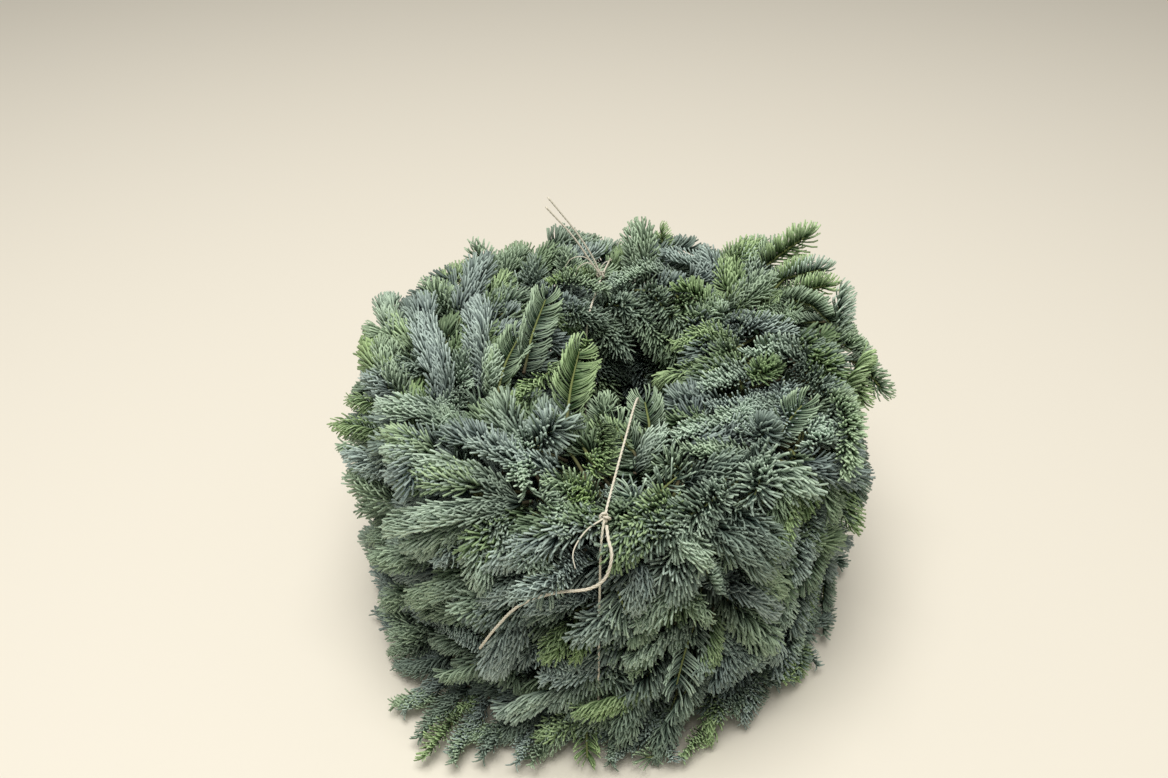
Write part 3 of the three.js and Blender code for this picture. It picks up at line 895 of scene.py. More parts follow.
    ((10, -180, 91), (-15, -189, 94), (-41, -193, 87), "BLUE", 100, 40),
    ((-23, -185, 31), (-35, -196, 30), (-49, -200, 22), "FRESH", 90, 20),
    ((-19, -183, 40), (-19, -201, 18), (-18, -222, 5), "FRESH", 85, -20),
    ((32, -185, 18), (19, -200, 11), (7, -210, 4), "BLUE", 90, 20),
    ((42, -186, 10), (34, -208, 5), (26, -222, 5), "GREEN", 85, -20),
    ((42, -194, 4), (44, -208, 4), (47, -221, 4), "BLUE", 70, 10),
    ((53, -175, 52), (45, -194, 36), (36, -207, 10), "DARK", 90, 20),
    ((83, -173, 4), (70, -193, 4), (58, -208, 5), "FRESH", 80, 10),
    ((85, -167, 30), (80, -182, 26), (77, -193, 12), "FRESH", 80, 10),
    ((35, -176, 100), (25, -188, 102), (17, -195, 97), "GREEN", 65, 20),
    ((114, -150, 29), (109, -166, 26), (106, -178, 14), "BLUE", 75, 10),
    ((130, -138, 16), (121, -159, 10), (110, -175, 4), "DARK", 60, 10),
    ((158, -108, 23), (150, -126, 18), (140, -147, 22), "FRESH", 85, 0),
    ((161, -103, 7), (167, -116, 4), (172, -128, 4), "BLUE", 50, 10),
    ((112, -153, 28), (97, -171, 28), (86, -185, 25), "DARK", 75, 10),
    ((93, -153, 94), (90, -168, 89), (88, -178, 76), "DARK", 90, 10),
    ((152, -111, 24), (157, -123, 19), (154, -137, 9), "FRESH", 75, 0),
    ((67, -168, 70), (59, -185, 62), (48, -196, 52), "DARK", 95, 20),
    ((29, -179, 65), (16, -195, 56), (8, -205, 35), "DARK", 95, 20),
    ((-40, -181, 37), (-42, -195, 27), (-50, -204, 6), "GREEN", 85, 20),
    ((-69, -167, 94), (-53, -182, 98), (-34, -192, 102), "BLUE", 95, 40),
    ((-55, -177, 32), (-68, -189, 22), (-82, -194, 4), "DARK", 90, 30),
    ((-112, -158, 24), (-131, -173, 14), (-145, -191, 11), "DARK", 90, 20),
    ((-96, -168, 22), (-108, -188, 13), (-119, -204, 11), "BLUE", 85, 20),
    ((-127, -150, 26), (-145, -157, 16), (-160, -168, 11), "BLUE", 85, 30),
    ((-77, -174, 20), (-88, -194, 13), (-96, -209, 11), "DARK", 90, 20),
    ((-58, -181, 18), (-64, -198, 12), (-70, -214, 11), "BLUE", 85, 20),
    ((-1, -180, 24), (1, -195, 14), (0, -212, 11), "DARK", 85, 20),
)


@dataclass
class Shoot:
    """One shoot of fir: a twig with needles on all sides."""

    line: list[Vector]
    wreath: int
    sector: int
    fresh: float = 0.3  # shares of fresh green and of paleness: pale wax, and painted light and shade
    wax: float = 0.5
    size: float = 1.0  # of its needles
    combed: float = 0.8  # how far its needles turn to its face
    parting: float = 0.5  # the angle by which they part there
    lean: float = 0.0  # how much they lie forward
    roll: float = 0.0  # turn of its face about the twig
    coarse: float = 0.0  # 1 for plainer needles
    bare: float = 0.0  # share of needles that are missing

    def tangent(self, index: int) -> Vector:
        """Returns the twig's direction at one of its points."""
        ahead, behind = self.line[min(index + 1, len(self.line) - 1)], self.line[max(index - 1, 0)]
        return (ahead - behind).normalized()


@dataclass(frozen=True)
class Row:
    """A row of shoots round one wreath, as radii and heights from foot to tip."""

    count: int
    radii: tuple[float, ...]
    heights: tuple[float, ...]
    sweep: float  # angle from foot to tip
    jitter: float = 0.009
    # how pale the row's needles are, below the outermost shoots: painted shade under them
    wax: float = 0.85
    bare: float = 0.26
    full: float = 1.0  # size of its needles


@dataclass(frozen=True)
class ShootLayout:
    """Places the shoots of all wreaths: rows by rule, and the outermost shoots over them."""

    form: StackForm
    wall_rows: tuple[Row, ...] = (
        Row(19, (0.148, 0.172, 0.184, 0.190, 0.196), (0.004, 0.018, 0.019, 0.014, 0.004), 27),
        Row(22, (0.150, 0.170, 0.183, 0.192, 0.200), (0.000, 0.004, 0.000, -0.006, -0.013), 26),
        Row(22, (0.150, 0.168, 0.180, 0.190, 0.197), (-0.002, -0.006, -0.014, -0.021, -0.028), 24),
        Row(19, (0.150, 0.164, 0.175, 0.184, 0.191), (-0.004, -0.014, -0.022, -0.028, -0.035), 23),
    )
    # The rows inside the hole are kept dark: painted shade.
    hole_rows: tuple[Row, ...] = tuple(
        Row(count, radii, heights, sweep, 0.006, wax, 0.4)
        for count, radii, heights, sweep, wax in (
            (12, (0.140, 0.105, 0.084, 0.075, 0.070), (0.004, 0.016, 0.014, 0.008, -0.002), 50, 0.35),
            (12, (0.140, 0.102, 0.080, 0.071, 0.066), (0.002, 0.006, 0.0, -0.008, -0.018), 48, 0.3),
            (11, (0.140, 0.100, 0.080, 0.070, 0.066), (0.0, -0.004, -0.014, -0.024, -0.034), 46, 0.25),
        )
    )
    top_rows: tuple[Row, ...] = (
        Row(22, (0.138, 0.160, 0.174, 0.185, 0.194), (0.010, 0.016, 0.012, 0.002, -0.014), 20),
        Row(23, (0.132, 0.150, 0.164, 0.176, 0.184), (0.008, 0.014, 0.016, 0.014, 0.008), 26),
        Row(21, (0.132, 0.138, 0.142, 0.148, 0.155), (0.008, 0.015, 0.018, 0.020, 0.020), 30),
        Row(19, (0.140, 0.128, 0.120, 0.114, 0.108), (0.006, 0.013, 0.017, 0.019, 0.019), 34),
        Row(17, (0.135, 0.112, 0.096, 0.084, 0.076), (0.006, 0.012, 0.012, 0.004, -0.010), 36, 0.006),
    )
    # The rows at the core fill the gaps and are dark: painted shade deep in the wreath.
    core_rows: tuple[Row, ...] = (
        Row(11, (0.112, 0.116, 0.118, 0.120), (0.004, 0.010, 0.010, 0.006), 42, 0.006, 0.2, 0.5, 1.3),
        Row(12, (0.160, 0.166, 0.168, 0.168), (0.002, 0.008, 0.008, 0.004), 36, 0.006, 0.2, 0.5, 1.3),
        Row(11, (0.108, 0.108, 0.108, 0.110), (-0.016, -0.022, -0.024, -0.022), 44, 0.006, 0.2, 0.5, 1.3),
        Row(12, (0.156, 0.160, 0.164, 0.164), (-0.014, -0.022, -0.024, -0.022), 38, 0.006, 0.2, 0.5, 1.3),
        Row(12, (0.134, 0.136, 0.138, 0.138), (-0.020, -0.028, -0.030, -0.030), 42, 0.005, 0.2, 0.5, 1.3),
        Row(12, (0.166, 0.176, 0.180, 0.180), (-0.024, -0.032, -0.034, -0.032), 38, 0.005, 0.2, 0.5, 1.3),
    )
    skirt_rows: tuple[Row, ...] = (
        Row(22, (0.150, 0.175, 0.190, 0.199, 0.206), (-0.006, -0.008, -0.014, -0.018, -0.020), 22, 0.007),
        Row(22, (0.150, 0.178, 0.190, 0.199, 0.206), (-0.010, -0.020, -0.024, -0.025, -0.025), 18, 0.007),
    )
    height_share: tuple[float, ...] = (0.52, 0.62, 0.8, 1.0)  # how fresh and pale each wreath is: the lower wreaths darker and bluer, as painted shade
    layer_grooves: tuple[float, ...] = (0.0515, 0.124, 0.184)
    near: float = 0.032  # distance within which an outermost shoot presses on the rows
    crowded: float = 0.010  # average distance within which it takes a shoot's place
    inset: float = 0.009  # most that it presses a shoot in
    lowest: float = 0.0108  # least height of a twig, which leaves room for its needles
    widest: float = 0.213  # farthest that a twig reaches to a side
    start_range: float = 0.35  # how far a shoot starts from its even place, as a share of a step
    seed_turn: int = 15  # degrees by which rows of neighbouring seeds are turned
    sweep_range: tuple[float, float] = (0.55, 1.25)
    against: float = 0.14  # share of the shoots that lie against the swirl
    against_sweep: float = -0.6
    sweep_curve: float = 0.9
    wobble: float = 0.2  # how crooked a shoot is, next to its row's jitter
    rise: float = 1.6  # how much more a row's jitter moves a tip up than outward
    row_size: tuple[float, float] = (0.94, 1.22)
    row_combed: tuple[float, float] = (0.5, 0.95)
    row_parting: tuple[float, float] = (0.05, 0.4)
    row_lean: tuple[float, float] = (-0.05, 0.3)
    row_roll: tuple[float, float] = (0.0, 0.9)
    fresh_curve: float = 1.6  # the higher, the fewer shoots are fresh or waxy
    wax_curve: float = 1.2
    parted: float = 1.1  # parting, bareness and size of a shoot that shows its twig
    parted_bare: float = 0.6
    parted_size: float = 1.2
    outer_parting: float = 0.12  # the same of the other outermost shoots
    outer_bare: float = 0.2
    outer_size: float = 1.1
    outer_roll: tuple[float, float] = (0.2, 0.9)
    least_combed: float = 0.6
    loose_combed: float = 0.5
    tie_room: float = 0.013  # room under a tie for the needles
    tie_half: float = 0.004  # half of the width that a tie presses down in full
    tie_slope: float = 0.5  # how steeply the foliage rises beside it
    back_drop: float = 0.011  # how much lower the back tie lies
    rosette_count: int = 26
    rosette_radii: tuple[float, float] = (0.085, 0.180)
    rosette_turn: tuple[float, float] = (4, 12)  # degrees from foot to tip
    rosette_top: float = 0.232
    rosette_rise: tuple[float, float] = (-0.008, 0.012)
    rosette_bend: float = 0.006
    rosette_size: tuple[float, float] = (0.85, 1.0)

    def shoots(self) -> list[Shoot]:
        """Returns every shoot."""
        top = self.form.wreaths - 1
        plans = [
            (rows, wreath, first + 7 * wreath, 3)
            for wreath in range(self.form.wreaths)
            for rows, first in ((self.wall_rows, 11), (self.hole_rows, 211), (self.core_rows, 701))
        ]
        plans += [(self.top_rows, top, 401, 5), (self.skirt_rows, 0, 501, 5)]
        found: list[Shoot] = []
        for rows, wreath, seed, seed_step in plans:
            for number, row in enumerate(rows):
                found.extend(self.row_shoots(row, wreath, seed + seed_step * number))
        found.extend(self.rosettes(top, 631))
        outermost = self.outermost_shoots()
        return self.under(outermost, found) + outermost

    def row_shoots(self, row: Row, wreath: int, seed: int) -> list[Shoot]:
        """Places one row.

        Args:
            row: what the shoots of the row do.
            wreath: the wreath that carries them.
            seed: start of the row's random numbers.

        Returns:
            The shoots.
        """
        random = SeededSource(seed)
        found = []
        for number in range(row.count):
            start = self.start(number, row.count, random) + self.seed_turn * seed
            sweep = row.sweep * random.between(*self.sweep_range)
            if random.share() < self.against:
                sweep *= self.against_sweep
            line = self.row_line(row, wreath, start, sweep, random)
            share = self.height_share[wreath]
            shoot = Shoot(
                line,
                wreath,
                self.form.sector_at(start),
                fresh=share * random.share() ** self.fresh_curve,
                wax=share * row.wax * random.share() ** self.wax_curve,
                size=row.full * random.between(*self.row_size),
                combed=random.between(*self.row_combed),
                parting=random.between(*self.row_parting),
                lean=random.between(*self.row_lean),
                roll=random.between(*self.row_roll),
                coarse=1.0,
                bare=row.bare,
            )
            self.turn_to_light(shoot)
            found.append(shoot)
        return found

    def start(self, number: int, count: int, random: SeededSource) -> float:
        """Returns the angle where one shoot of a row starts."""
        return -360 * (number + random.between(-self.start_range, self.start_range)) / count

    def row_line(
        self, row: Row, wreath: int, start: float, sweep: float, random: SeededSource
    ) -> list[Vector]:
        """Works out the line of one shoot in a row.

        Args:
            row: the row.
            wreath: the wreath that carries it.
            start: the angle of its foot.
            sweep: the angle from its foot to its tip.
            random: the row's random numbers.

        Returns:
            The line.
        """
        middle = self.form.stem_height(wreath)
        rise, spread = (random.between(-1, 1) * row.jitter for _ in range(2))
        steps = len(row.radii) - 1
        places = []
        for step, (radius, height) in enumerate(zip(row.radii, row.heights)):
            part = step / steps
            wobble = random.between(-self.wobble, self.wobble) * row.jitter
            angle = start - sweep * part**self.sweep_curve
            lifted = middle + height + (self.rise * rise + wobble) * part
            places.append(self.form.place(angle, radius + (spread + wobble) * part, lifted))
        return [self.pressed(place, wreath) for place in smooth_line(places, 3)]

    def outermost_shoots(self) -> list[Shoot]:
        """Returns the shoots of the table."""
        found = []
        random = SeededSource(907)
        for foot, middle, tip, tone, size, gather in OUTER_SHOOTS:
            places = [Vector(place) / 1000 for place in (foot, middle, tip)]
            wreath = sum(places[0].z > groove for groove in self.layer_grooves)
            line = [self.pressed(place, wreath, over_back=True) for place in smooth_line(places, 6)]
            sector = self.form.sector_at(math.degrees(math.atan2(foot[1], foot[0])))
            fresh, wax = Tone[tone].value
            shoot = Shoot(line, wreath, sector, fresh, wax, size * self.outer_size / 100)
            shoot.combed = min(1.0, self.least_combed + abs(gather) / 80) if gather else self.loose_combed
            shoot.parting, shoot.bare = self.outer_parting, self.outer_bare
            if gather > 0:
                shoot.lean = (gather - 12) / 100
                shoot.roll = random.between(*self.outer_roll)
            elif gather < 0:
                shoot.size = size * self.parted_size / 100
                shoot.lean = 0.004 * gather
                shoot.parting, shoot.bare = self.parted, self.parted_bare
            self.turn_to_light(shoot)
            found.append(shoot)
        return found

    def turn_to_light(self, shoot: Shoot) -> None:
        """Rolls a shoot the other way round if that turns its face more to the light."""
        index = len(shoot.line) // 2
        across = shoot.tangent(index).cross(self.form.facing(shoot.line[index], shoot.wreath))
        if across.dot(self.form.light) < 0:
            shoot.roll = -shoot.roll

    def under(self, outermost: Sequence[Shoot], shoots: Sequence[Shoot]) -> list[Shoot]:
        """Presses shoots in under the outermost ones.

        Args:
            outermost: the shoots that lie over the others.
            shoots: the others.

        Returns:
            The others, without those that would lie along an outermost shoot.
        """
        places = [place for shoot in outermost for place in shoot.line]
        spots = KDTree(len(places))
        for index, place in enumerate(places):
            spots.insert(place, index)
        spots.balance()
        kept = []
        for shoot in shoots:
            reaches = [spots.find(place)[2] for place in shoot.line]
            if sum(reaches) / len(reaches) < self.crowded:
                continue
            for index, (place, reach) in enumerate(zip(shoot.line, reaches)):
                press = self.inset * max(0.0, 1 - reach / self.near)
                shoot.line[index] = place - self.form.outward(place, shoot.wreath) * press
            kept.append(shoot)
        return kept

    def pressed(self, place: Vector, wreath: int, over_back: bool = False) -> Vector:
        """Moves a place down under the ties, and off the table.

        Args:
            place: a place on a shoot of the wreath.
            wreath: the wreath.
            over_back: whether the shoot may lie over the back tie.

        Returns:
            The place where the shoot runs.
        """
        held = place.copy()
        held.z = max(held.z, self.lowest)
        held.x = min(max(held.x, -self.widest), self.widest)
        held.y = min(max(held.y, -self.widest), self.widest)
        if wreath < self.form.wreaths - 1:
            return held
        for sector, drop in ((0, 0.0), (self.form.bunches // 2, self.back_drop)):
            heading = math.radians(self.form.divider_heading(sector))
            along = place.x * math.cos(heading) + place.y * math.sin(heading)
            across = abs(-place.x * math.sin(heading) + place.y * math.cos(heading) - self.form.swirl)
            if along > 0 and not (over_back and sector):
                beside = self.tie_slope * max(across - self.tie_half, 0.0)
                held.z = min(held.z, self.form.tie_height - drop - self.tie_room + beside)
        return held

    def rosettes(self, wreath: int, seed: int) -> list[Shoot]:
        """Places short shoots on the top that point up and outward.

        Args:
            wreath: the wreath that carries them.
            seed: start of the random numbers.

        Returns:
            The shoots.
        """
        random = SeededSource(seed)
        found = []
        for number in range(self.rosette_count):
            start = self.start(number, self.rosette_count, random)
            radius = random.between(*self.rosette_radii)
            foot = self.form.place(start, 0.5 * (radius + self.form.hoop), self.form.stem_height(wreath))
            turned = start - random.between(*self.rosette_turn)
            top = self.form.place(turned, radius, self.rosette_top + random.between(*self.rosette_rise))
            bend = foot.lerp(top, 0.5) + Vector((0, 0, self.rosette_bend))
            line = [self.pressed(place, wreath) for place in smooth_line([foot, bend, top], 5)]
            fresh, wax = random.share(), random.share()
            size = random.between(*self.rosette_size)
            found.append(Shoot(line, wreath, self.form.sector_at(start), fresh, wax, size, combed=0.2))
        return found


@dataclass(frozen=True)
class NeedleForm:
    """Size and curve of one needle.

    A curve is given outward, forward and upward, as shares of its length, with its width at each stop.
    """

    length: float = 0.0155
    width: float = 0.00145
    thickness: float = 0.0010
    flat_side: float = 0.2  # how far the flat side and the ridge stand out, as shares of the thickness
    ridge_side: float = 0.6
    root: float = 0.0008
    line: tuple[Stop, ...] = (
        (0.0, 0.0, 0.0, 0.8),
        (0.34, 0.22, 0.03, 1.0),
        (0.62, 0.38, 0.14, 1.1),
        (0.82, 0.52, 0.34, 1.0),
    )
    coarse_line: tuple[Stop, ...] = (
        (0.0, 0.0, 0.0, 0.9),
        (0.48, 0.30, 0.07, 1.2),
        (0.82, 0.52, 0.32, 1.1),
    )

    def piece(self, name: str, hand: int, line: Sequence[Stop]) -> bpy.types.Object:
        """Makes a needle that the tree repeats.

        Args:
            name: the object's name.
            hand: 1 for a needle that stands to the left of the twig's face, -1 for one to the right.
            line: its curve.

        Returns:
            An object with local X outward from the twig and Z forward along it.
        """
        vertices: list[Place] = []
        faces: list[tuple[int, ...]] = []
        stops: list[float] = []
        for outward, forward, upward, width in line:
            x, z = self.root + outward * self.length, forward * self.length
            y = -hand * upward * self.length
            half, thick = 0.5 * width * self.width, width * self.thickness
            flat, ridge = self.flat_side * thick, self.ridge_side * thick
            vertices.append((x + flat, y - half, z - flat))
            vertices.append((x + flat, y + half, z - flat))
            vertices.append((x - ridge, y, z + ridge))
            stops.extend([math.hypot(outward, forward)] * 3)
        last = 3 * (len(line) - 1)
        faces.extend(((0, 1, 2), (last, last + 2, last + 1)))
        for near in range(0, last, 3):
            for corner in range(3):
                ahead = (corner + 1) % 3
                faces.append((near + corner, near + 3 + corner, near + 3 + ahead, near + ahead))
        mesh = bpy.data.meshes.new(name)
        mesh.from_pydata(vertices, [], faces)
        mesh.shade_smooth()
        along = mesh.attributes.new("along", "FLOAT", "POINT")
        along.data.foreach_set("value", stops)
        return mesh_object(name, mesh)


@dataclass
class SprayTree:
    """Geometry nodes that grow a twig and its needles along every line of a mesh."""

    needle_names: tuple[str, ...] = (
        "Left Coarse Needle", "Right Coarse Needle", "Left Needle", "Right Needle"
    )
    inputs: tuple[tuple[str, tuple[str, ...]], ...] = (
        ("Geometry", ("Lines",)),
        ("Object", needle_names),
        ("Float", ("Needle Spacing", "Twig Radius", "Tip Closing", "Spread")),
        ("Int", ("Seed",)),
        ("Material", ("Needle Finish", "Bark Finish")),
    )
    line_numbers: tuple[str, ...] = ("up", "size", "combed", "parting", "lean", "coarse", "bare", "left")
    golden_turn: float = 2.39996
    turn_range: float = 0.06  # how far a needle stands from its turn
    comb_end: float = 1.3  # widest angle to the shoot's face at which a combed needle stands
    laid_over: float = 1.1  # angle to the shoot's face below which combed needles lie down forward
    laid_closing: float = 0.4
    tip_reach: float = 0.011  # length before a tip in which needles close and shorten
    tip_short: float = 0.12
    foot_share: float = 0.3  # share of a twig from its foot in which needles open and shorten
    foot_opening: float = 0.12
    foot_short: float = 0.3
    coarse_foot: float = 0.28  # share of a hidden shoot that has no needles
    parted_closing: float = 0.15  # how much less a parted shoot's needles close at its tip
    parted_spread: float = 0.9  # and how much more they spread
    length_range: tuple[float, float] = (0.92, 1.06)
    twig_foot: float = 1.3  # girth of a twig at its foot, and its loss toward the tip
    twig_loss: float = 0.7
    twig_sides: int = 5

    def __post_init__(self) -> None:
        """Builds the tree."""
        self.tree = bpy.data.node_groups.new("fir_spray", "GeometryNodeTree")
        face = self.tree.interface
        for kind, names in self.inputs:
            for name in names:
                face.new_socket(name=name, in_out="INPUT", socket_type=f"NodeSocket{kind}")
        face.new_socket(name="Sprays", in_out="OUTPUT", socket_type="NodeSocketGeometry")
        self.graph = Graph(self.tree)
        self.given = self.graph.node("NodeGroupInput").outputs
        self.share = self.named("share")
        self.coarse = self.named("coarse")
        self.seed = Wire(self.graph, self.given["Seed"])
        self.wire_up()

    def identifier(self, name: str) -> str:
        """Returns the identifier of a named input."""
        for item in self.tree.interface.items_tree:
            if item.item_type == "SOCKET" and item.in_out == "INPUT" and item.name == name:
                return item.identifier
        raise KeyError(name)

    def number(self, name: str) -> Wire:
        """Returns a number given to the tree."""
        return Wire(self.graph, self.given[name])

    def named(self, name: str, kind: str = "FLOAT") -> Wire:
        """Returns an attribute of the lines."""
        socket = self.graph.result("GeometryNodeInputNamedAttribute", {"data_type": kind}, Name=name)
        return Wire(self.graph, socket)

    def random(self, low: float, high: float, stream: int) -> Wire:
        """Returns a random number for each needle.

        Args:
            low: its least value.
            high: its greatest value.
            stream: tells apart numbers that do not follow each other.

        Returns:
            The number.
        """
        inputs = {"Min_001": low, "Max_001": high, "Seed": self.seed + stream if stream else self.seed}
        node = self.graph.node("FunctionNodeRandomValue", {"data_type": "FLOAT"}, inputs)
        return Wire(self.graph, node.outputs[1])

    def bearing(self) -> tuple[Socket, Socket, Wire, Wire]:
        """Works out where each needle points.

        Returns:
            The twig's direction, the needle's direction away from it, how far it is laid down forward, and 1
            for the left side.
        """
        graph = self.graph
        tangent = graph.result("GeometryNodeInputTangent")
        wished = self.named("up", "FLOAT_VECTOR")
        dot = graph.node("ShaderNodeVectorMath", {"operation": "DOT_PRODUCT"}, {0: wished, 1: tangent})
        along = graph.vector_math("SCALE", tangent, scale=dot.outputs[1])
        up = graph.vector_math("NORMALIZE", graph.vector_math("SUBTRACT", wished, along))
        side = graph.vector_math("CROSS_PRODUCT", tangent, up)
        index = Wire(graph, graph.result("GeometryNodeInputIndex"))
        turn = index * self.golden_turn + self.random(-self.turn_range, self.turn_range, 0)
        turn = turn.math("WRAP", math.pi, -math.pi)
        free = turn.math("ABSOLUTE")
        combed = self.comb_end * free / math.pi + self.named("parting") * (1.0 - free / math.pi)
        angle = free + (combed - free) * self.named("combed")
        high = graph.vector_math("SCALE", up, scale=angle.math("COSINE"))
        wide = graph.vector_math("SCALE", side, scale=angle.math("SINE") * turn.math("SIGN"))
        laid = (1.0 - angle / self.laid_over).raised() * self.named("combed")
        return tangent, graph.vector_math("ADD", high, wide), laid, turn.math("GREATER_THAN", 0.0)

    def placing(self) -> tuple[Socket, Socket, Wire]:
        """Works out how each needle stands.

        Returns:
            Its rotation, its scale, and 1 for the left side.
        """
        graph = self.graph
        tangent, away, laid, left = self.bearing()
        axes = {"Primary Axis": tangent, "Secondary Axis": away}
        facing = graph.node("FunctionNodeAxesToRotation", {"primary_axis": "Z", "secondary_axis": "X"}, axes)
        tip = (1.0 - self.named("left") / self.tip_reach).raised()
        foot = (1.0 - self.share / self.foot_share).raised()
        parting = self.named("parting")
        closing = tip * tip * self.number("Tip Closing") * (1.0 - parting * self.parted_closing)
        closing = closing - foot * self.foot_opening
        closing = closing + laid * self.laid_closing + self.named("lean")
        spread = self.random(-1.0, 1.0, 1) * self.number("Spread") * (1.0 + parting * self.parted_spread)
        closing = (closing + spread) * -1.0
        lean = graph.result("FunctionNodeAxisAngleToRotation", Axis=(0.0, 1.0, 0.0), Angle=closing)
        turned = {"Rotation": facing.outputs[0], "Rotate By": lean}
        rotation = graph.node("FunctionNodeRotateRotation", {"rotation_space": "LOCAL"}, turned).outputs[0]
        length = (1.0 - tip * self.tip_short - foot * self.foot_short) * self.random(*self.length_range, 2)
        length = length * self.named("size")
        scale = graph.result("ShaderNodeCombineXYZ", X=length, Y=1.0, Z=length)
        return rotation, scale, left

    def needles(self, curves: Socket) -> Socket:
        """Stands needles along the lines.

        Args:
            curves: the lines.

        Returns:
            The needles, with their finish.
        """
        graph = self.graph
        spacing = self.given["Needle Spacing"]
        stops = graph.result("GeometryNodeResampleCurve", {"mode": "LENGTH"}, Curve=curves, Length=spacing)
        rotation, scale, left = self.placing()
        infos = [
            graph.node("GeometryNodeObjectInfo", None, {"Object": self.given[name], "As Instance": True})
            for name in self.needle_names
        ]
        kinds = [info.outputs["Geometry"] for info in infos]
        needle = graph.result("GeometryNodeJoinGeometry", Geometry=kinds)
        grown = self.random(0.0, 1.0, 4).math("GREATER_THAN", self.named("bare"))
        needles = graph.result(
            "GeometryNodeInstanceOnPoints",
            Points=stops,
            Selection=grown * (self.share - self.coarse * self.coarse_foot).math("GREATER_THAN", 0.0),
            Instance=needle,
            Pick_Instance=True,
            Instance_Index=left + self.coarse * 2.0,
            Rotation=rotation,
            Scale=scale,
        )
        needles = graph.result(
            "GeometryNodeStoreNamedAttribute",
            {"data_type": "FLOAT", "domain": "INSTANCE"},
            Geometry=needles,
            Name="shade",
            Value=self.random(0.0, 1.0, 3),
        )
        return graph.result("GeometryNodeSetMaterial", Geometry=needles, Material=self.given["Needle Finish"])

    def twigs(self, curves: Socket) -> Socket:
        """Returns a twig along every line, with its finish."""
        graph = self.graph
        ring = graph.result("GeometryNodeCurvePrimitiveCircle", Resolution=self.twig_sides, Radius=1.0)
        girth = self.number("Twig Radius") * (self.twig_foot - self.share * self.twig_loss)
        twigs = graph.result(
            "GeometryNodeCurveToMesh", Curve=curves, Profile_Curve=ring, Scale=girth, Fill_Caps=True
        )
        return graph.result("GeometryNodeSetMaterial", Geometry=twigs, Material=self.given["Bark Finish"])

    def wire_up(self) -> None:
        """Adds and links the nodes."""
        graph = self.graph
        curves = graph.result("GeometryNodeMeshToCurve", Mesh=self.given["Lines"])
        both = graph.result("GeometryNodeJoinGeometry", Geometry=[self.needles(curves), self.twigs(curves)])
        real = graph.result("GeometryNodeRealizeInstances", Geometry=both)
        for name in self.line_numbers:
            real = graph.result("GeometryNodeRemoveAttribute", Geometry=real, Name=name)
        graph.node("NodeGroupOutput", None, {"Sprays": real})


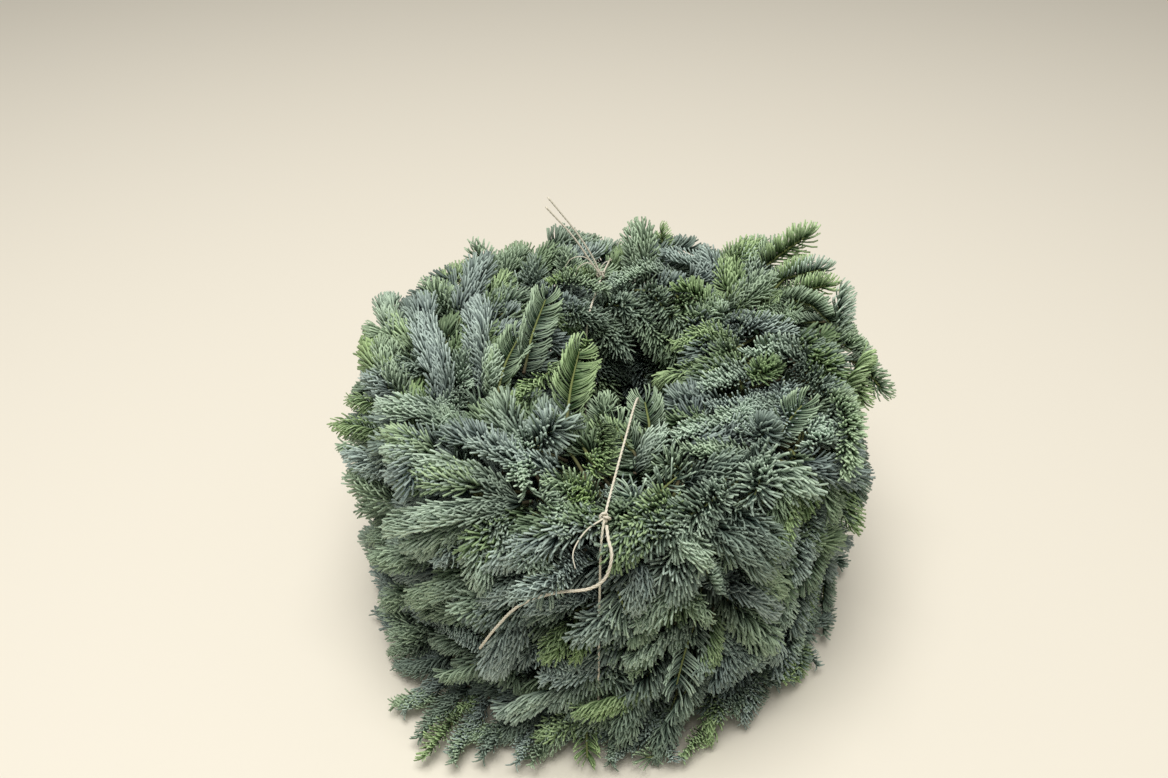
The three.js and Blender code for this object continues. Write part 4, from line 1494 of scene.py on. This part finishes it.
@dataclass
class Foliage:
    """The bunches of all wreaths: twigs and needles."""

    form: StackForm
    needle_finish: bpy.types.Material
    bark_finish: bpy.types.Material
    spacing: float = 0.00033
    twig: float = 0.0011
    tip_closing: float = 0.95
    spread: float = 0.07
    low_short: float = 0.12  # how much shorter the needles at the table are
    flat: float = 0.5  # parting above which a shoot turns its flat side to the light
    light_pull: float = 1.6  # and how strongly it does
    needle: NeedleForm = field(default_factory=NeedleForm)

    def lines_object(self, name: str, shoots: Sequence[Shoot]) -> bpy.types.Object:
        """Makes a mesh of the shoots' lines with what the tree reads from them.

        Args:
            name: the object's name.
            shoots: the shoots.

        Returns:
            The object.
        """
        vertices: list[Vector] = []
        edges: list[tuple[int, int]] = []
        ups: list[float] = []
        numbers: dict[str, list[float]] = {}
        for shoot in shoots:
            first = len(vertices)
            last = len(shoot.line) - 1
            for index, place in enumerate(shoot.line):
                vertices.append(place)
                low = self.form.lowness(place)
                turn = Matrix.Rotation(shoot.roll * (1 - low), 3, shoot.tangent(index))
                face = self.form.facing(place, shoot.wreath)
                if shoot.parting > self.flat:
                    face = face + self.form.light * self.light_pull
                ups.extend(turn @ face)
                kept = {
                    "share": index / last,
                    "left": line_length(shoot.line[index:]),
                    "fresh": shoot.fresh,
                    "wax": shoot.wax,
                    "size": shoot.size * (1 - self.low_short * low),
                    "combed": shoot.combed + (1 - shoot.combed) * low,
                    "parting": shoot.parting,
                    "lean": shoot.lean,
                    "coarse": shoot.coarse,
                    "bare": shoot.bare,
                }
                for key, value in kept.items():
                    numbers.setdefault(key, []).append(value)
            edges.extend((first + index, first + index + 1) for index in range(last))
        mesh = bpy.data.meshes.new(name)
        mesh.from_pydata([tuple(vertex) for vertex in vertices], edges, [])
        mesh.attributes.new("up", "FLOAT_VECTOR", "POINT").data.foreach_set("vector", ups)
        for key, values in numbers.items():
            mesh.attributes.new(key, "FLOAT", "POINT").data.foreach_set("value", values)
        return mesh_object(name, mesh)

    def build(self, shoots: Sequence[Shoot]) -> int:
        """Makes one piece for each bunch.

        Args:
            shoots: all shoots.

        Returns:
            How many triangles the pieces have.
        """
        tree = SprayTree()
        shapes = [(hand, line) for line in (self.needle.coarse_line, self.needle.line) for hand in (1, -1)]
        needles = {
            name: self.needle.piece(name.replace(" ", "_").lower(), hand, line)
            for name, (hand, line) in zip(tree.needle_names, shapes)
        }
        total = 0
        for wreath in range(self.form.wreaths):
            for sector in range(self.form.bunches):
                own = [shoot for shoot in shoots if (shoot.wreath, shoot.sector) == (wreath, sector)]
                label = f"wreath_{wreath + 1}_bunch_{sector + 1:02d}"
                piece = self.grow(tree, needles, label, own, 100 * wreath + sector)
                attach(piece, BODY)
                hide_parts(label)
                total += len(piece.data.loop_triangles)
        for needle in needles.values():
            bpy.data.objects.remove(needle)
        return total

    def grow(
        self,
        tree: SprayTree,
        needles: dict[str, bpy.types.Object],
        label: str,
        own: Sequence[Shoot],
        seed: int,
    ) -> bpy.types.Object:
        """Grows the needles of one bunch.

        Args:
            tree: the geometry nodes.
            needles: the needles that they repeat, by the tree's inputs.
            label: the bunch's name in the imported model.
            own: the bunch's shoots.
            seed: the bunch's random seed.

        Returns:
            The finished piece.
        """
        lines = self.lines_object(f"{label}_lines", own)
        modifier = lines.modifiers.new("sprays", "NODES")
        modifier.node_group = tree.tree
        values = {
            **needles,
            "Needle Spacing": self.spacing,
            "Twig Radius": self.twig,
            "Tip Closing": self.tip_closing,
            "Spread": self.spread,
            "Seed": 10 * seed,
            "Needle Finish": self.needle_finish,
            "Bark Finish": self.bark_finish,
        }
        for name, value in values.items():
            modifier[tree.identifier(name)] = value
        graph = bpy.context.evaluated_depsgraph_get()
        mesh = bpy.data.meshes.new_from_object(
            lines.evaluated_get(graph), preserve_all_data_layers=True, depsgraph=graph
        )
        bpy.data.objects.remove(lines)
        mesh.name = f"{label}_sprays"
        mesh.calc_loop_triangles()
        piece = mesh_object(f"{label}_sprays", mesh)
        log.info("%s: %d shoots, %d triangles", piece.name, len(own), len(mesh.loop_triangles))
        return piece


# ------------------------------------------------------------------------------------------ wires and twine


@dataclass
class Wires:
    """The hoops and their binding wires."""

    form: StackForm
    finish: bpy.types.Material
    hoop_steps: int = 120
    hoop_sides: int = 8
    turns: int = 30  # turns of the binding wire round its hoop
    turn_steps: int = 16
    winding_sides: int = 5

    def build(self) -> None:
        """Makes both wires of every wreath."""
        for wreath in range(self.form.wreaths):
            self.dress(self.hoop(wreath), f"wreath_{wreath + 1}_hoop")
            self.dress(self.binding(wreath), f"wreath_{wreath + 1}_binding_wire")

    def dress(self, piece: bpy.types.Object, node: str) -> None:
        """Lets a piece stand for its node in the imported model."""
        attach(piece, BODY)
        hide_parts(node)
        log.info("%s stands for %s", piece.name, node)

    def hoop(self, wreath: int) -> bpy.types.Object:
        """Returns one hoop."""
        height = self.form.hoop_height(wreath)
        steps = self.hoop_steps
        line = [self.form.place(360 * step / steps, self.form.hoop, height) for step in range(steps)]
        stock = MeshStock()
        stock.add_tube(line, lambda share: self.form.hoop_wire, self.hoop_sides, closed=True)
        return stock.piece(f"wreath_{wreath + 1}_wire_hoop", self.finish)

    def binding(self, wreath: int) -> bpy.types.Object:
        """Returns one binding wire, wound round hoop and stems."""
        form = self.form
        hoop_height = form.hoop_height(wreath)
        low = -form.hoop_wire - form.seat - form.binding_wire
        high = form.stem_height(wreath) - hoop_height + form.stems + form.seat + form.binding_wire
        middle, reach = 0.5 * (low + high), 0.5 * (high - low)
        across = form.stems + form.seat + form.binding_wire
        count = self.turns * self.turn_steps
        line = []
        for step in range(count):
            turn = 2 * math.pi * step / self.turn_steps
            height = hoop_height + middle + reach * math.cos(turn)
            line.append(form.place(360 * step / count, form.hoop + across * math.sin(turn), height))
        stock = MeshStock()
        stock.add_tube(line, lambda share: form.binding_wire, self.winding_sides, closed=True)
        return stock.piece(f"wreath_{wreath + 1}_winding", self.finish)


@dataclass
class Twine:
    """The two ties of sisal twine and the long loose end at the front."""

    form: StackForm
    finish: bpy.types.Material
    radius: float = 0.0011
    tie_radius: float = 0.0009
    strands_in: int = 3
    strand_reach: float = 0.5  # how far a strand's middle lies from the twine's, as a share of its radius
    strand_radius: float = 0.52
    strand_sides: int = 6
    curl_sides: int = 5
    lay: float = 0.011  # length of one turn of the strands
    route_steps: int = 22  # samples between two places of a route, and of an end
    end_steps: int = 14
    # Routes and knots lie on the planes of the ties: outward and up, in millimetres. Ends are places.
    front_route: tuple[tuple[float, float], ...] = (
        (59, 9), (56, 60), (54, 125), (52, 195), (54, 237), (66, 244.5), (110, 244.8), (150, 242.5),
        (180, 238), (190, 226), (193, 180), (193, 120), (192, 60), (189, 18), (176, 5), (140, 2.1),
        (95, 2.1), (70, 2.7),
    )
    back_route: tuple[tuple[float, float], ...] = (
        (59, 9), (56, 60), (55, 125), (55, 190), (60, 219), (72, 228), (95, 230.5), (118, 232.5),
        (150, 229.5), (176, 224), (189, 209), (193, 175), (193, 120), (192, 60), (189, 18), (176, 5),
        (140, 2.1), (95, 2.1), (70, 2.7),
    )
    front_knot: tuple[float, float] = (180, 238)
    back_knot: tuple[float, float] = (118, 236.5)
    knot_reach: float = 0.0024
    knot_half: float = 0.0014
    knot_steps: int = 72
    front_end: tuple[Place, ...] = (
        (-8, -183, 238), (-18, -190, 236), (-25, -197, 231), (-28, -204, 227), (-26.5, -209.5, 220),
    )
    back_ends: tuple[tuple[Place, ...], ...] = (
        ((-6, 119, 237), (-12, 121, 252), (-27, 124, 277), (-52, 129, 309)),
        ((-6, 119, 237), (-15, 120, 251), (-31, 123, 275), (-54, 127, 301)),
    )
    back_curls: tuple[tuple[Place, ...], ...] = (
        ((-14, 120, 251), (-22, 120, 256), (-32, 120, 254), (-39, 119, 244)),
        ((-12, 120, 247), (-19, 118, 251), (-26, 116, 247), (-29, 114, 240)),
        ((-8, 119, 241), (-3, 121, 249), (4, 122, 252)),
    )
    fibre: float = 0.00055  # radius of a curl
    end_full: float = 0.55  # thickness of the short front end at its foot, and its loss toward the tip
    end_loss: float = 0.25
    curl_loss: float = 0.5
    tail: tuple[Place, ...] = (
        (-6.6, -188.6, 237), (-5.6, -197.5, 234), (-3.6, -205.5, 228), (-7.7, -210.5, 212),
        (-17, -211.4, 203.5), (-39.8, -208.8, 196), (-63.5, -203.2, 177), (-81, -197.2, 147),
        (-95.5, -190.2, 114),
    )

    def strands(self, stock: MeshStock, line: Sequence[Vector], closed: bool, radius: float) -> None:
        """Adds twisted strands along a line.

        Args:
            stock: what gets the strands.
            line: the twine's middle line, in short even steps.
            closed: whether the line closes on itself.
            radius: the twine's radius.
        """
        length = line_length(line)
        turns = max(1, round(length / self.lay))
        count = len(line)
        for strand in range(self.strands_in):
            side = (line[1] - line[0]).orthogonal().normalized()
            wound = []
            travelled = 0.0
            for index, middle in enumerate(line):
                ahead = line[(index + 1) % count] if closed else line[min(index + 1, count - 1)]
                behind = line[index - 1] if closed or index else line[0]
                tangent = (ahead - behind).normalized()
                side = (side - tangent * side.dot(tangent)).normalized()
                if index:
                    travelled += (middle - line[index - 1]).length
                angle = 2 * math.pi * (turns * travelled / length + strand / self.strands_in)
                offset = side * math.cos(angle) + tangent.cross(side) * math.sin(angle)
                wound.append(middle + offset * self.strand_reach * radius)
            stock.add_tube(wound, lambda share: self.strand_radius * radius, self.strand_sides, closed)

    def route_line(self, sector: float, route: Sequence[tuple[float, float]]) -> list[Vector]:
        """Returns the closed line of a tie."""
        places = [self.form.tie_place(sector, along / 1000, height / 1000) for along, height in route]
        return smooth_line(places, self.route_steps, closed=True)

    def end_line(self, places: Sequence[Place]) -> list[Vector]:
        """Returns the line of a loose end."""
        return smooth_line([Vector(place) / 1000 for place in places], self.end_steps)

    def end_radius(self, share: float) -> float:
        """Returns the radius of the short front end at a share of its length."""
        return self.radius * (self.end_full - self.end_loss * share)

    def curl_radius(self, share: float) -> float:
        """Returns the radius of a curl at a share of its length."""
        return self.fibre * (1 - self.curl_loss * share)

    def knot_line(self, middle: Vector, heading: float) -> list[Vector]:
        """Returns the line of a knot that lies across a tie.

        Args:
            middle: the knot's place.
            heading: the tie's outward heading.

        Returns:
            A closed line.
        """
        turned = Matrix.Rotation(math.radians(heading), 3, "Z")
        line = []
        for step in range(self.knot_steps):
            turn = 2 * math.pi * step / self.knot_steps
            reach = self.knot_reach * (1 + 0.5 * math.cos(3 * turn))
            across = (reach * math.cos(2 * turn), reach * math.sin(2 * turn))
            line.append(middle + turned @ Vector((self.knot_half * math.sin(3 * turn), *across)))
        return line

    def build(self) -> None:
        """Makes both ties and the loose end."""
        plans = (
            ("tie_front", 0, self.front_route, self.front_knot, (self.front_end,)),
            ("tie_back", self.form.bunches // 2, self.back_route, self.back_knot, self.back_ends),
        )
        for node, sector, route, knot, ends in plans:
            stock = MeshStock()
            self.strands(stock, self.route_line(sector, route), True, self.tie_radius)
            middle = self.form.tie_place(sector, knot[0] / 1000, knot[1] / 1000)
            knot_line = self.knot_line(middle, self.form.divider_heading(sector))
            self.strands(stock, knot_line, True, self.tie_radius)
            for end in ends:
                if sector:
                    self.strands(stock, self.end_line(end), False, self.tie_radius)
                else:
                    stock.add_tube(self.end_line(end), self.end_radius, self.strand_sides)
            if sector:
                for curl in self.back_curls:
                    stock.add_tube(self.end_line(curl), self.curl_radius, self.curl_sides)
            piece = stock.piece(f"{node}_twine", self.finish)
            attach(piece, BODY)
            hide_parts(node)
            log.info("%s stands for %s", piece.name, node)
        self.build_tail()

    def build_tail(self) -> None:
        """Makes the long loose end of the front tie."""
        line = self.end_line(self.tail)
        stock = MeshStock()
        self.strands(stock, line, False, self.radius)
        piece = stock.piece("tie_front_loose_end", self.finish)
        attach(piece, BODY)
        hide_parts("tie_front_tail")
        line_length(line)
        2 * self.radius
        log.info("%s is %.3f m long", piece.name, line_length(line))


# ------------------------------------------------------------------------------------------ studio


@dataclass
class Studio:
    """Camera, floor and soft light."""

    eye: Place = (-0.021, -0.6105, 0.673)
    pitch: float = 52.3
    lens: float = 29.07
    sensor: float = 36.0
    nearest: float = 0.01
    farthest: float = 100.0
    floor_half: float = 6.0
    key_place: Place = (-0.2, -0.35, 3.0)
    key_size: float = 1.8
    key_power: float = 92.0
    key_colour: Place = (1.0, 0.98, 0.95)
    stack_middle: Place = (0.0, 0.0, 0.12)
    sky: Colour = tint(236, 234, 228)
    sky_strength: float = 0.345

    def camera(self) -> None:
        """Places the camera."""
        lens = bpy.data.cameras.new("camera")
        lens.lens = self.lens
        lens.sensor_width = self.sensor
        lens.clip_start = self.nearest
        lens.clip_end = self.farthest
        eye = bpy.data.objects.new("camera", lens)
        eye.location = self.eye
        eye.rotation_euler = (math.radians(self.pitch), 0.0, 0.0)
        bpy.context.scene.collection.objects.link(eye)
        bpy.context.scene.camera = eye

    def floor(self) -> None:
        """Lays the floor."""
        half = self.floor_half
        mesh = bpy.data.meshes.new("floor")
        corners = [(-half, -half, 0.0), (half, -half, 0.0), (half, half, 0.0), (-half, half, 0.0)]
        mesh.from_pydata(corners, [], [(0, 1, 2, 3)])
        mesh.materials.append(FloorFinish().material())
        mesh_object("floor", mesh)

    def key(self) -> None:
        """Hangs a soft lamp that faces the stack."""
        light = bpy.data.lights.new("key", "AREA")
        light.size = self.key_size
        light.energy = self.key_power
        light.color = self.key_colour
        lamp = bpy.data.objects.new("key", light)
        lamp.location = self.key_place
        toward = Vector(self.stack_middle) - Vector(self.key_place)
        lamp.rotation_euler = toward.to_track_quat("-Z", "Y").to_euler()
        bpy.context.scene.collection.objects.link(lamp)

    def build(self) -> None:
        """Adds floor and light."""
        self.floor()
        self.key()
        world = bpy.data.worlds.new("studio")
        world.use_nodes = True
        background = world.node_tree.nodes["Background"]
        background.inputs["Color"].default_value = self.sky
        background.inputs["Strength"].default_value = self.sky_strength
        bpy.context.scene.world = world
        bpy.context.scene.view_settings.view_transform = "Standard"


def main() -> None:
    """Builds every piece in order."""
    logging.basicConfig(level=logging.INFO, format="%(message)s")
    studio = Studio()
    studio.camera()
    Twine(FORM, TwineFinish().material()).build()
    Wires(FORM, WireFinish().material()).build()
    foliage = Foliage(FORM, NeedleFinish().material(), BarkFinish().material())
    triangles = foliage.build(ShootLayout(FORM).shoots())
    log.info("foliage: %d triangles", triangles)
    studio.build()


if __name__ == "__main__":
    main()
